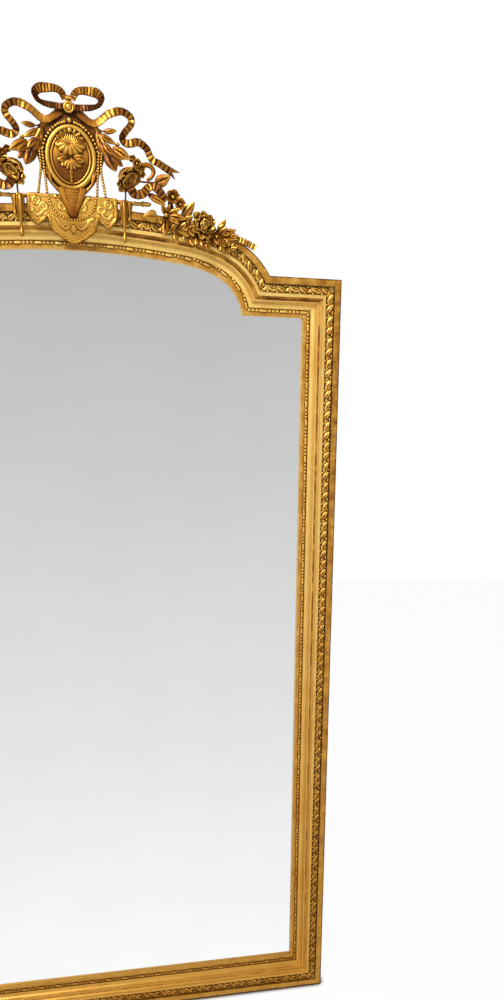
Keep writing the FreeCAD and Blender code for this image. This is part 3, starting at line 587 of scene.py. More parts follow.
def moulding_runs():
    """Bead-and-reel rails and laurel bands on the sill, stiles, shoulders and arch."""
    beads = runs(bead_line)
    leaves = runs(leaf_line)
    for parts in (("bottom",), ("stile", "shoulder", "arch")):
        rail = [matrix for part in parts for matrix in spaced(beads[part], bead_repeat, bead_seat)]
        band = [matrix for part in parts for matrix in spaced(leaves[part], leaf_repeat, leaf_seat)]
        rails = [strewn(bead_pattern(), rail)]
        rails += [core_strip(beads[part], 3.4, bead_seat - 0.2, 1.0) for part in parts]
        bands = [strewn(laurel_pattern(), band)]
        bands += [core_strip(leaves[part], 8.9, leaf_seat - 0.3, 1.2) for part in parts]
        if "bottom" in parts:
            carved("bead_and_reel_bottom", rails, running_gilt, "bead_rail_bottom")
            carved("laurel_leaves_bottom", bands, running_gilt, "laurel_band_bottom")
        else:
            both("bead_and_reel", rails, running_gilt, "bead_rails")
            both("laurel_leaves", bands, running_gilt, "laurel_bands")


# Ribbons and stems

def smooth_route(points, count):
    """Even points on a smooth line through the given points, and its length."""
    ends = [points[0] * 2 - points[1]] + list(points) + [points[-1] * 2 - points[-2]]
    fine = []
    steps = 24
    for a, b, c, d in zip(ends, ends[1:], ends[2:], ends[3:]):
        for step in range(steps):
            t = step / steps
            fine.append(0.5 * (2 * b + (c - a) * t + (2 * a - 5 * b + 4 * c - d) * t * t
                               + (3 * b - a - 3 * c + d) * t ** 3))
    fine.append(points[-1])
    lengths = [0.0]
    for a, b in zip(fine, fine[1:]):
        lengths.append(lengths[-1] + (b - a).length)
    out, index = [], 0
    for number in range(count + 1):
        want = lengths[-1] * number / count
        while index < len(fine) - 2 and lengths[index + 1] < want:
            index += 1
        span = lengths[index + 1] - lengths[index]
        out.append(fine[index].lerp(fine[index + 1], (want - lengths[index]) / span if span else 0.0))
    return out, lengths[-1]


def gathered_ribbon(points, widths, tilts=(0, 0), shades=(0, 0), pleat=6.0, pleat_depths=(1.3, 1.3),
                    tail=0.0):
    """A ribbon carved with gathers across it. The tilts lean its face in and out along the way."""
    length = smooth_route(points, 60)[1]
    pleats = length / pleat
    count = max(24, round(pleats * 6))
    route = smooth_route(points, count)[0]

    def place(u, v):
        index = min(int(round(u * count)), count)
        ahead = (route[min(index + 1, count)] - route[max(index - 1, 0)]).normalized()
        across = Vector((ahead.z, 0, -ahead.x)).normalized()
        lean = math.radians(along(tilts, u))
        side = 2 * v - 1
        turn = 2 * math.pi * pleats * u + 0.9 * math.sin(11 * u)
        wave = 0.7 * math.sin(turn) + 0.3 * math.sin(2.3 * turn + 1)
        half = 0.5 * along(widths, u) * (1 + 0.05 * wave)
        rise = side * half * math.sin(lean) + along(pleat_depths, u) * wave * (1 - 0.3 * side * side)
        spot = route[index] + across * (side * half * math.cos(lean)) + at(0, rise, 0)
        if tail and u > 1 - tail:
            spot -= ahead * ((1 - abs(side)) * (u - 1 + tail) / tail * half * 1.7)
        # Painted shade: dark in the valleys of the gathers and along the edges, and darker by the shades list
        # where the ribbon turns away.
        tone = 0.8 * along(pleat_depths, u) * max(0.0, -wave + 0.1) ** 1.1
        tone += along(shades, u) + 0.3 * side ** 8
        return spot, tone
    return sheet(count, 8, place, 2.2)


def rod(points, radius, taper=0.7, sides=10, count=24, shade=0.0):
    """A round stem along a smooth route, with closed ends."""
    route = smooth_route(points, count)[0]

    def place(u, v):
        index = int(round(u * count))
        ahead = (route[min(index + 1, count)] - route[max(index - 1, 0)]).normalized()
        first = ahead.cross(Vector((0, 1, 0))).normalized()
        second = ahead.cross(first)
        turn = 2 * math.pi * v
        size = radius * (1 - (1 - taper) * u) * (0.02 if index in (0, count) else 1.0)
        spot = route[index] + first * (size * math.cos(turn)) + second * (size * math.sin(turn))
        # Painted shade on the side of the stem that turns away to the back.
        return spot, shade + 0.4 * max(0.0, math.sin(turn) * second.y + math.cos(turn) * first.y)
    return sheet(count, sides, place)


def bow():
    """The bow's loops, streamers and knot, with gathers all along."""
    loop = ((6.8, 192.9), (14.2, 206.0), (26.4, 211), (43.8, 210.7), (57, 208.5), (64.9, 199.8),
            (59.2, 187.8), (45.9, 182.5), (29.6, 180.3), (9, 179.8))
    # The last list is painted shade on the turned-away parts of the loop.
    band = gathered_ribbon([crest(x, 57.5, z) for x, z in loop],
                           (12, 15, 18.5, 18.5, 18, 16, 14, 13, 12, 11),
                           (10, 24, 30, 14, -20, -52, -46, -20, -6, 0),
                           (0.4, 0.3, 0.2, 0.15, 0.3, 0.6, 0.7, 0.6, 0.5, 0.5))
    both("bow_loop", [band], carving_gilt, "bow_loop")
    tail = ((15.8, 170.9), (30.5, 162.1), (50.9, 155.4), (78.4, 174.3), (103.7, 182), (122, 173.2),
            (123.2, 159.8), (111.4, 145.4), (104.4, 133.2), (110.7, 124.3), (123.2, 124.8), (137.4, 127.9),
            (152.8, 118.5), (159.3, 106.6), (165, 97), (178.1, 91.5), (197.5, 81), (217.5, 70.2))
    # The fourth list is painted shade on the turned-away parts of the streamer.
    band = gathered_ribbon([crest(x, 52.5, z) for x, z in tail],
                           (10, 13, 15, 16, 16, 14, 14, 13, 14, 16, 15, 14, 14, 15, 16, 17),
                           (0, 0, 10, 26, 14, -34, -30, 16, 36, 10, -14, -34, 0, 20, 18, 6),
                           (0.55, 0.4, 0.25, 0.05, 0.1, 0.4, 0.25, 0.15, 0.5, 0.1, 0.25, 0.5, 0.15,
                            0.1, 0.3, 0.15),
                           9.0, (0.0, 0.15, 1.2, 1.3, 1.3, 1.3, 1.3), 0.05)
    both("streamer", [band], carving_gilt, "streamer")
    centre = crest(0, ground_front, 179.2)
    button = ball(6.6, centre + at(0, 10, 0), (1, 0.7, 1), 24, 12)
    bpy.ops.mesh.primitive_torus_add(major_radius=8.6, minor_radius=2.3, major_segments=32, minor_segments=10)
    ring = bpy.context.active_object
    ring.data.transform(Matrix.Translation(centre + at(0, 9, 0)) @ Matrix.Rotation(math.pi / 2, 4, "X"))
    bpy.ops.mesh.primitive_cylinder_add(vertices=32, radius=9.6, depth=9)
    back = shape(bpy.context.active_object, "BEVEL", width=1.5, segments=2, limit_method="ANGLE")
    back.data.transform(Matrix.Translation(centre + at(0, 4.5, 0)) @ Matrix.Rotation(math.pi / 2, 4, "X"))
    fold = gathered_ribbon([crest(0, 57, z) for z in (184, 192, 201)], (10, 12, 13), pleat=4.0)
    carved("bow_knot_carved", [button, ring, back, fold], carving_gilt, "bow_knot")


def small_ribbons():
    """The fold under each rose and the gathered end on the arch."""
    fold = ((116, 42), (126, 27), (143, 29), (157, 42), (173, 40), (191, 18))
    # The fourth list is painted shade on the turned-away parts of the fold.
    band = gathered_ribbon([crest(x, 66.5, z) for x, z in fold], (17, 19, 17, 16, 17, 17),
                           (-20, 24, -10, 30, -20, -34), (0.5, 0.4, 0.25, 0.1, 0.5, 0.35), 8.0)
    both("lower_ribbon", [band], carving_gilt, "lower_ribbon")
    lifts = ((328, -4), (345, 1), (361, 4.5), (384, 9.5))
    end = [on_arch(x, moulding_width + lift, 60.8) for x, lift in lifts]
    band = gathered_ribbon(end, (9, 12, 12.5, 12.5), (0, 12, 4), pleat=7.0)
    both("ribbon_end", [band], carving_gilt, "end_ribbon")


# Leaves and flowers

def sprigs():
    """A stem with leaves and a bud from the hood to each rose."""
    stem = [crest(57, 53, 138), crest(66, 55, 122), crest(80, 59, 103), crest(102, 62, 82)]
    stalk = [crest(54, 53, 147.5), crest(62, 54, 143), crest(71, 54, 142)]
    pieces = [rod(stem, 4.2), rod(stalk, 1.8, shade=0.6), ball(3.6, crest(94, 56, 119.6), (1.5, 1, 1), 10, 6)]
    pieces += [leaf((67, 141.5), (94, 144.4), 10, 53, veins=3, bow=0.3),
               leaf((57, 137), (91, 118), 12, 54, veins=3, bow=0.3),
               leaf((84, 113), (120, 90), 19, 60, 6),
               leaf((66, 119), (84, 98), 14, 58, 6, shade=0.1),
               leaf((62, 124), (72, 94), 15, 55, shade=0.2),
               leaf((71, 106), (90, 66), 25, 58, shade=0.3),
               leaf((76, 110), (106, 88), 13, 59, 8, shade=0.2),
               leaf((84, 96), (104, 76), 13, 61, 6, shade=0.3)]
    both("sprig", pieces, carving_gilt, "sprig")


def petal(length, width, cup, shade=0.0, thickness=1.8, ripple=0.6):
    """A rounded petal that grows up from the origin, cups forward and rolls over at its rim."""
    def place(u, v):
        side = 2 * v - 1
        half = 0.5 * width * math.sin(math.pi * (0.08 + 0.55 * u)) ** 0.8
        depth = cup * length * u ** 1.6 + 0.2 * width * side * side * u
        depth -= 0.25 * cup * length * max(0.0, u - 0.8) * 5
        depth += ripple * math.sin(2.5 * math.pi * side) * u
        # Painted shade at the petal's base, deep in the flower, and in faint flutes across it.
        tone = shade + 0.75 * (1 - u) ** 1.5 + 0.12 * abs(math.sin(5 * math.pi * side))
        return at(side * half, depth, u * length * (1 - 0.28 * side * side * u)), tone
    return sheet(10, 8, place, thickness)


def blossom(place, size, shade=0.0):
    """A small five-petalled flower with a round eye."""
    blade = petal(size, size * 0.95, 0.25, shade, 1.5)
    pieces = [grown(blade, place, 72 * number + 20, 22) for number in range(5)]
    bpy.data.objects.remove(blade)
    return pieces + [ball(size * 0.28, place + at(0, size * 0.2, 0), (1, 0.8, 1), 10, 6)]


def roses():
    """A drooping rose: a wound heart in three rounds of petals, with a leaf and a curl beside it."""
    def wound(u, v):
        turn = 2 * math.pi * 2.3 * u
        radius = 2 + 11 * u ** 0.85
        flare = radius * (0.6 + 0.4 * v) + 2 * u * v ** 5
        spot = Vector((flare * math.cos(turn), flare * math.sin(turn), -8 + 20 * v - 3 * u * v))
        # Painted shade deep in the wound heart.
        return spot, 0.1 + 0.8 * (1 - v)
    parts = [sheet(72, 6, wound, 1.8)]
    rounds = ((4, 26, 27, 32, 0), (5, 33, 32, 48, 30), (7, 40, 34, 66, 10))
    for count, length, width, opening, phase in rounds:
        blade = petal(length, width, 0.34, -0.12, 1.8, 1.2)
        for number in range(count):
            turn = Matrix.Rotation(math.radians(360 * number / count + phase), 4, "Z")
            lean = Matrix.Rotation(math.radians(-opening), 4, "X")
            parts.append(copied(blade, Matrix.Translation((0, 0, -10)) @ turn @ lean))
        bpy.data.objects.remove(blade)
    heart = merged(parts)
    facing = Vector((0.56, -0.5, -0.66)).to_track_quat("Z", "Y").to_matrix().to_4x4()
    heart.data.transform(Matrix.Translation(crest(108, 66, 63)) @ Matrix.Scale(0.5, 4, (0, 1, 0)) @ facing)
    pieces = [heart]
    for x, z, size in ((133, 85, 11), (141, 77, 10), (142, 66, 9), (124, 93, 9)):
        pieces += blossom(crest(x, 61, z), size)
    pieces.append(rod([crest(118, 62, 56), crest(142, 63, 52), crest(174, 63, 52)], 2.2, 0.8, shade=0.5))
    pieces.append(leaf((170, 50), (201, 66), 24, 61.5, broad=0.7, bow=0.1))
    scroll = ((143, 82), (152, 86), (163, 82), (167, 73), (161, 62), (152, 57))
    pieces.append(rod([crest(x, 57, z) for x, z in scroll], 5.6, 0.6, 10, 30, 0.2))
    pieces.append(rod([crest(107, 62, 36), crest(108, 61, 26), crest(107, 60, 12)], 2.0, 0.8, shade=0.7))
    both("rose", pieces, carving_gilt, "rose")


def lilies():
    """The lily on the arch with its pointed petals, and the blossoms above it."""
    place = crest(191, 60, -9)
    blade = leaf_blade(42, 16, 0.8, 0.22, 0.22, 0.08, 0.05, 2.2, 3)
    lie = ((20, 20, 0.6), (64, 12, 0.8), (98, 10, 1.02), (122, 16, 0.75), (187, 6, 1.05), (214, 20, 0.6),
           (336, 18, 0.6))
    pieces = [grown(blade, place, heading, lift, 0, size) for heading, lift, size in lie]
    bpy.data.objects.remove(blade)
    pieces.append(ball(5, place + at(0, 5, 0), (1, 1, 1), 12, 8))
    pieces.append(rod([place, crest(199, 60, 6), crest(207, 60, 25)], 2.4, 0.8, shade=0.4))
    pieces += blossom(crest(206, 61, 27), 17, 0.15)
    pieces += blossom(crest(221, 61, 14), 14)
    both("lily_and_blossom", pieces, carving_gilt, "lily_and_blossom")


def blooms():
    """A full bloom of short petals in four rounds."""
    chance = random.Random(3)
    place = crest(271, 59, -23)
    pieces = [ball(5, place + at(0, 10, 0), (1, 0.8, 1), 14, 8)]
    rounds = ((9, 31, 17, 8, 0, 0), (8, 25, 15, 24, 14, 3), (6, 18, 13, 44, 5, 6), (5, 12, 10, 62, 20, 8))
    for count, length, width, lift, phase, forward in rounds:
        blade = petal(length, width, 0.3, -0.22, 1.9)
        for number in range(count):
            heading = phase + 360 * number / count + chance.uniform(-9, 9)
            raised = lift + chance.uniform(-7, 7)
            size = chance.uniform(0.85, 1.08)
            pieces.append(grown(blade, place + at(0, forward, 0), heading, raised, 0, size))
        bpy.data.objects.remove(blade)
    both("bloom", pieces, carving_gilt, "bloom")


def leaves_on_arch():
    """Leaves on the arch's outer fillet: long ones that fan past its edge, and small ones between."""
    pieces = [leaf((302, -32), (318, -9), 12, 59, 5), leaf((304, -37), (341, -29), 12, 60, 6),
              leaf((314, -42), (343, -47), 11, 60, 5), leaf((268, -38), (285, -57), 11, 58, 6),
              leaf((303, -45), (317, -64), 12, 59, 8), leaf((224, -16), (251, 21), 19, 59, 4, broad=0.75),
              leaf((173, -11), (143, -14), 25, 59, 3, broad=0.6, bow=0.12, crease=0.04, shade=-0.4),
              leaf((153, 31), (191, 9), 14, 60, 5), leaf((205, 2), (196, 22), 10, 59, 6, shade=0.2)]
    chance = random.Random(7)
    small = leaf_blade(23, 12, 0.85, 0.24, 0.14, 0.12, -0.15, 1.8, 3, 8, 6)
    places = []
    for number in range(64):
        x = 200 + 132 * (number + chance.random()) / 64
        root = on_arch(x, chance.uniform(48, 80), chance.uniform(55, 60))
        turn = Matrix.Rotation(math.radians(chance.uniform(20, 200)), 4, "Y")
        lean = Matrix.Rotation(math.radians(chance.uniform(6, 26)), 4, "X")
        places.append(Matrix.Translation(root) @ turn @ lean @ Matrix.Scale(chance.uniform(0.7, 1.1), 4))
    pieces.append(strewn(small, places))
    both("arch_leaves", pieces, carving_gilt, "arch_leaves")


# The cartouche

def oval(turn, offset):
    """A place on the oval's outline, moved out by an offset."""
    wide, tall = oval_half
    side = (wide ** 2 + (tall - oval_end) ** 2 - oval_end ** 2) / (2 * (wide - oval_end))
    change = math.atan2(tall - oval_end, side - wide)
    turn = (turn + change) % (2 * math.pi) - change
    centre, radius = (0, oval_end - tall), oval_end
    if turn <= change:
        centre, radius = (wide - side, 0), side
    elif turn < math.pi - change:
        centre, radius = (0, tall - oval_end), oval_end
    elif turn <= math.pi + change:
        centre, radius = (side - wide, 0), side
    return centre[0] + (radius + offset) * math.cos(turn), centre[1] + (radius + offset) * math.sin(turn)


def hood():
    """The board behind the oval, hollowed round the pearls, with a raised edge and an ear each side."""
    half = ((0, 189.8), (11, 188.7), (59, 147.6), (69.6, 119.9), (68.5, 97.7), (59.2, 67.7), (46.3, 45.5),
            (24.9, 23.3), (0, 11.1))
    right = smooth_route([crest(x, 0, z) for x, z in half], 48)[0]
    edge = right + [Vector((-point.x, 0, point.z)) for point in reversed(right[1:-1])] + [right[0]]
    middle = crest(0, 0, oval_rise)
    # Each row of the section: share of the way out, rise, and painted shade, darkest on the ground round the
    # oval and on the board's sides.
    section = ((0, 0, 0.4), (0.7, 0, 0.4), (0.8, -1.5, 0.55), (0.88, -1.5, 0.45), (0.91, 0.8, 0.2),
               (0.94, 2.6, 0.0), (0.97, 2.6, 0.0), (0.995, 1.2, 0.2), (1, -1, 0.4), (1, -10, 0.6),
               (0.99, -20, 0.7), (0, -20, 0.7))
    last = len(section) - 1

    def place(u, v):
        share, rise, tone = section[int(round(v * last))]
        point = edge[int(round(u * (len(edge) - 1)))]
        spot = middle + (point - middle) * share
        return at(spot.x, ground_front + rise, spot.z), tone
    pieces = [sheet(len(edge) - 1, last, place)]
    for side in (-1, 1):
        ear = leaf((side * 56, 146), (side * 65, 96), 17, 51, 1, shade=0.1)
        pieces += [ear, leaf((side * 60, 100), (side * 40, 40), 9, 51, 1, shade=0.15, veins=9)]
    carved("hood_carved", pieces, carving_gilt, "cartouche_ground", 50)


def oval_moulding():
    """The oval rim, a broad roll with a quirk and an inner fillet, and the plaque inside it."""
    # Each row of the section: inset, height and painted shade, dark in the quirk and at the rim's foot and
    # inner edge.
    section = ((0, 0, 0.8), (0, 3.5, 0.3), (1.2, 6.2, 0), (3.4, 7.2, 0), (6, 7.4, 0), (8.6, 6.6, 0.1),
               (10, 5, 0.5), (10.8, 4.0, 0.9), (11.4, 5.0, 0.3), (13.4, 5.4, 0), (15, 4.6, 0.1),
               (16.2, 2.6, 0.4), (rim_width, 1.4, 0.8), (rim_width, 0, 1))
    last = len(section) - 1

    def place(u, v):
        inset, height, tone = section[int(round(v * last))]
        x, z = oval(2 * math.pi * u, -inset)
        # Painted shade grows towards the bottom of the oval.
        return crest(x, ground_front + height, oval_rise + z), tone + 0.12 * max(0.0, -z / oval_half[1])
    carved("oval_rim_carved", [sheet(96, last, place)], carving_gilt, "cartouche_rim", 50)

    def field(u, v):
        x, z = oval(2 * math.pi * u, -rim_width)
        # Painted shade in the lower part of the field, deepest towards its sides and rim.
        low = max(0.0, 0.25 - z * v / oval_half[1])
        tone = 0.12 + 0.9 * low * (0.45 + 0.55 * abs(math.cos(2 * math.pi * u)))
        return crest(x * v, ground_front + 4 - 1.2 * v ** 4, oval_rise + z * v), tone
    carved("oval_plaque_carved", [sheet(64, 12, field, 1.0)], carving_gilt, "cartouche_plaque")


def pearl_string(places, radius):
    """Pearls along a route, set close together."""
    pattern = ball(radius, Vector((0, 0, 0)), (1, 1, 1), 10, 7)
    return strewn(pattern, [Matrix.Translation(place) for place in places])


def strung(points, pitch):
    """Even places along a smooth route, a pitch apart."""
    return smooth_route(points, max(2, round(smooth_route(points, 60)[1] / pitch)))[0]


def pearls():
    """Pearls round the oval, in strands at its sides, and in a swag over the pelmet."""
    count = 60
    border = []
    for number in range(count):
        x, z = oval(2 * math.pi * number / count + math.pi / 2, 4.0)
        if z > -30 and not (abs(x) < 7 and z > 0):
            border.append(crest(x, ground_front + 3.4, oval_rise + z))
    boss = ball(6, crest(0, ground_front + 3, 157), (0.9, 0.8, 1), 16, 10)
    carved("pearl_border_carved", [pearl_string(border, 3.3), boss], carving_gilt, "pearl_border")
    outer = ((62, 55, 100), (60.5, 56, 84), (60, 57, 66), (63.5, 60, 42), (68, 61, 14))
    inner = ((56.5, 55.5, 100), (54.8, 56, 84), (54, 57, 66), (51.5, 60, 42), (49.7, 61, 14))
    strands = [pearl_string(strung([crest(*spot) for spot in line], 5.6), 3.0) for line in (outer, inner)]
    both("pearl_strands", strands, carving_gilt, "pearl_strands")
    hang = ((-48, 13), (-43, -6), (-31, -21), (-14, -28.5), (0, -29.5), (14, -28.5), (31, -21), (43, -6),
            (48, 13))
    swag = [crest(x, crest_front + 2.6, z) for x, z in hang]
    carved("pearl_swag_carved", [pearl_string(strung(swag, 5.8), 3.1)], carving_gilt, "pearl_swag")


def fan(place, wide, tall, ribs, spread, height, scallop=0.08, fine=0.5):
    """A ribbed shell fanned up from its hinge, domed, with a scalloped edge. A negative height in
    tall turns it down."""
    def spot(u, v):
        turn = math.radians(spread) * (u - 0.5)
        wave = math.cos(2 * math.pi * ribs * (u - 0.5))
        reach = v * (1 - scallop * (0.5 - 0.5 * wave) * v)
        depth = height * math.sin(math.pi * min(0.93, 0.2 + 0.66 * v)) + 0.12 * height * wave * v
        # Painted shade between the ribs, at the hinge and along the scalloped edge.
        tone = fine * (0.5 - 0.5 * wave) ** 2 * min(1.0, 2 * v) + 0.6 * (1 - v) ** 3 + 0.3 * v ** 10
        return place + at(wide * reach * math.sin(turn), depth, tall * reach * math.cos(turn)), tone
    return sheet(ribs * 8, 10, spot, 1.6)


def shell():
    """The carved shell on the oval: a fan over a scalloped apron, acanthus, wings and a husk drop."""
    seat = ground_front + 4
    pieces = [fan(crest(0, seat, 104), 27, 29, 13, 132, 5, 0.04, 0.5),
              ball(6, crest(0, seat + 4, 138), (0.9, 0.9, 1), 16, 10),
              fan(crest(0, seat + 1, 114), 30, -22, 7, 174, 6, 0.08, 0.35),
              fan(crest(0, seat, 87), 21, -22, 5, 116, 5, 0.08, 0.6)]
    for side in (-1, 1):
        pieces += [leaf((side * 5, 85), (side * 27, 83), 12, seat, 6, veins=4, bow=0.25),
                   leaf((side * 3, 88), (side * 21, 93), 9, seat, 8, veins=4, bow=0.25),
                   leaf((side * 8, 122), (side * 20, 134), 9, seat + 1, 10, veins=3, bow=0.3),
                   leaf((side * 17, 120), (side * 27, 126), 9, seat + 1, 12, veins=3, bow=0.3),
                   leaf((side * 22, 118), (side * 29, 108), 8, seat + 1, 10, veins=3, bow=0.3),
                   leaf((side * 4, 128), (side * 11, 139), 7, seat + 1, 10, veins=3, bow=0.3),
                   leaf((side * 10, 82), (side * 19, 72), 8, seat, 6, veins=3, bow=0.25)]
    for top, low, width in ((68, 56, 8), (59, 49, 6.5), (51, 41, 5)):
        pieces.append(leaf((0, top), (0, low), width, seat, 8, veins=2, bow=0.35))
    carved("shell_carved", pieces, carving_gilt, "shell_relief")


# The pelmet and what hangs by it

pelmet_edge = ((0, -71.5), (6, -71), (13, -68), (17, -64.5), (20, -65), (28, -59), (33, -54),
               (36, -54.5), (42, -46.5), (46.5, -37), (48.5, -27), (50.5, -22.5), (54, -23), (56, -29),
               (60, -34), (62, -33.5), (66, -38.5), (71, -40), (76, -38), (79, -33), (81, -33),
               (85, -25), (87, -18), (88, -9))
pelmet_lines = (((34, 13), (20, -3), (5, -21)), ((41, -26), (33, -30), (26, -40), (17, -46), (9, -43)),
                ((57, -14), (63, -22), (72, -25), (80, -17)), ((0, -40), (2.5, -46), (0, -52)))
pelmet_rosettes = ((72, 2), (58, -9), (20, -6))


def edge_drop(x):
    """How low the pelmet's scalloped lower edge hangs, at a place across it."""
    for (x0, z0), (x1, z1) in zip(pelmet_edge, pelmet_edge[1:]):
        if x <= x1:
            return z0 + (z1 - z0) * (x - x0) / (x1 - x0)
    return pelmet_edge[-1][1]


def line_gap(x, z, line):
    """The distance from a place to a line of points."""
    best = 1000.0
    for (x0, z0), (x1, z1) in zip(line, line[1:]):
        dx, dz = x1 - x0, z1 - z0
        share = max(0.0, min(1.0, ((x - x0) * dx + (z - z0) * dz) / (dx * dx + dz * dz)))
        best = min(best, math.hypot(x - x0 - share * dx, z - z0 - share * dz))
    return best


def pelmet():
    """The carved pelmet: a ruled ground with rosettes and scrolls, and a scalloped lower edge."""
    half = 88
    drop = 86
    bend = 0.56

    def place(u, v):
        x = (2 * u - 1) * half
        low = edge_drop(abs(x))
        z = low + (pelmet_top - low) * v
        fall = (pelmet_top - z) / drop
        back = 13.5 * max(0.0, (fall - bend) / (1 - bend))
        rule = math.sin(2 * math.pi * z / 3.6)
        # Painted shade in the ruled grooves.
        height, tone = 0.3 * rule, 0.04 + 0.3 * max(0.0, -rule) ** 2
        gaps = [line_gap(abs(x), z, line) for line in pelmet_lines]
        gaps += [abs(math.hypot(abs(x) - cx, z - cz) - 6.5) for cx, cz in pelmet_rosettes]
        gaps += [math.hypot(abs(x) - cx, z - cz) for cx, cz in pelmet_rosettes]
        gap = min(gaps)
        height += 1.3 * math.exp(-(gap / 1.3) ** 2)
        # Painted shade beside the raised lines and rosettes, and a painted highlight on their tops.
        tone += 1.2 * math.exp(-((gap - 2.4) / 0.9) ** 2) - 0.3 * math.exp(-(gap / 1.3) ** 2)
        edge = min(z - low, half - abs(x), pelmet_top - z)
        height += 1.1 * math.exp(-((edge - 1.5) / 1.4) ** 2) - 0.8 * math.exp(-((edge - 4.4) / 0.9) ** 2)
        # Painted shade in the groove inside the edge, and a painted shadow along the edge itself.
        tone += 1.2 * math.exp(-((edge - 4.4) / 0.9) ** 2) + 0.6 * math.exp(-((edge + 0.2) / 0.8) ** 2)
        return crest(x, crest_front - 1.2 + height - back, z), max(0.0, tone)
    piece = sheet(180, 64, place)
    shape(piece, "SOLIDIFY", thickness=4.6, offset=-1.0)
    carved("pelmet_carved", [close(piece)], carving_gilt, "lambrequin")


def drop_body():
    """The pointed body under the oval, bordered, with overlapping scales between."""
    top = 29
    tip = -24.5

    def place(u, v):
        side = 2 * u - 1
        under = -math.sqrt(max(0.0, oval_end ** 2 - (25 * side) ** 2)) - (oval_half[1] - oval_end)
        upper = min(top, oval_rise + under - 0.8)
        z = tip + (upper - tip) * v
        half = 2.2 + 27 * ((z - tip) / (top - tip)) ** 0.95
        row = v * 9
        cell = side * 5 * (0.35 + 0.65 * v) + 0.5 * (int(row) % 2)
        arc = abs(math.sin(math.pi * cell))
        inside = max(0.0, 1 - (abs(side) / 0.55) ** 6)
        scales = inside * max(0.0, min(1.0, 4 * v - 1.6))
        ridge = math.exp(-((abs(side) - 0.78) / 0.16) ** 2)
        groove = math.exp(-((abs(side) - 0.56) / 0.06) ** 2) + math.exp(-((abs(side) - 0.98) / 0.04) ** 2)
        across = row - int(row)
        height = 4.0 * (1 - 0.6 * side * side) + scales * 0.9 * arc * (1 - across) + 0.6 * ridge - 0.7 * groove
        # Painted shade under the overlapping scales, in the grooves and towards the tip.
        tone = 0.24 + 0.08 * inside + scales * (0.4 * across ** 2 + 0.35 * (1 - arc) ** 2)
        tone += 0.7 * groove + 0.4 * (1 - v) ** 3
        return crest(side * half, crest_front + 1 + height, z), tone
    piece = sheet(60, 54, place)
    shape(piece, "SOLIDIFY", thickness=5, offset=-1.0)
    carved("cartouche_drop_carved", [close(piece)], carving_gilt, "cartouche_drop")


def tassels():
    """A folded drop that narrows to a bud, and a smaller fold beside it."""
    profile = ((0.0, 0.4), (0.05, 0.85), (0.16, 1.0), (0.32, 0.88), (0.5, 0.6), (0.68, 0.32),
               (0.78, 0.26), (0.83, 0.45), (0.89, 0.66), (0.94, 0.66), (0.98, 0.4), (1.0, 0.02))
    last = len(profile) - 1

    def fold(x, top, drop, radius, depth):
        def place(u, v):
            share, size = profile[int(round(v * last))]
            turn = 2 * math.pi * u
            flute = math.cos(4 * turn)
            wide = radius * size * (1 + 0.2 * flute * (1 - share))
            spot = crest(x + wide * math.cos(turn), depth + 0.8 * wide * math.sin(turn), top - share * drop)
            # Painted shade in the flutes of the fold.
            return spot, 0.12 + 0.4 * max(0.0, -flute) * (1 - share)
        return sheet(32, last, place)
    pieces = [fold(104, pelmet_top, 82, 8, frame_depth + 5),
              fold(115, pelmet_top - 2, 38, 6, frame_depth + 3.6)]
    pieces.append(ball(5, crest(107, 59, 12), (1.6, 0.8, 0.9), 12, 8))
    both("tassel", pieces, carving_gilt, "tassel")


def twigs():
    """A knotty twig that runs out level over the arch and ends in an acorn."""
    depth = 54.5
    level = 11.5
    sway = ((77, 0), (100, 0.6), (124, -0.5), (142, 0))
    pieces = [rod([crest(x, depth, level + lift) for x, lift in sway], 3.9, 1.0)]
    swellings = ((4.4, 97, 1.2, 12, 8), (4.2, 126, 1.3, 12, 8),
                 (5.6, 143.5, 0.8, 14, 8), (4.7, 151.5, 2.1, 14, 10))
    pieces += [ball(radius, crest(x, depth, level), (length, 1, 1), segments, rings)
               for radius, x, length, segments, rings in swellings]
    both("twig", pieces, carving_gilt, "twig")


moulding_runs()
bow()
small_ribbons()
sprigs()
roses()
lilies()
blooms()
leaves_on_arch()
hood()
oval_moulding()
pearls()
shell()
pelmet()
drop_body()
tassels()
twigs()

# Finishes on the solids that show as they are
finishes = {"gilt": gilt, "mirror": glass, "pine": pine, "steel": steel}
for part in frame["record"]["subparts"]:
    solid = frame["nodes"][part["node"]]
    solid.data.materials.clear()
    solid.data.materials.append(finishes[part["material_slot"]])


# Stage, light and camera

def stage():
    """A plain pale floor that stays near white and keeps the object's shadow, with a painted contact shadow
    darkest where it stands.
    """
    bpy.ops.object.select_all(action="DESELECT")
    bpy.ops.mesh.primitive_plane_add(size=12)
    floor = bpy.context.active_object
    floor.name = "floor"
    floor.data.transform(Matrix.Translation((0, 0, cad_low.z - 0.0005)))
    floor.visible_glossy = False
    material, tree, shader, coords = begin("pale_paper_floor")
    tree.nodes.remove(shader)
    path = add(tree, "LightPath")
    paper = add(tree, "BsdfDiffuse", {"Color": linear("#f4f4f4")})
    # Painted shadow: the glowing floor colour darkens where ambient occlusion finds the frame close by.
    near = add(tree, "AmbientOcclusion", {"Distance": 22 * millimetre}, samples=8)
    contact = ramp(tree, near.outputs["AO"], ((0.52, "#33241a"), (0.68, "#b8ada4"), (0.84, "#ffffff")))
    glow = add(tree, "Emission", {"Color": contact, "Strength": 1.0})
    share = worked(tree, "MULTIPLY", path.outputs["Is Camera Ray"], 0.96)
    blend = add(tree, "MixShader", {0: share, 1: paper.outputs[0], 2: glow.outputs[0]})
    tree.links.new(blend.outputs[0], tree.nodes["Material Output"].inputs["Surface"])
    floor.data.materials.append(material)


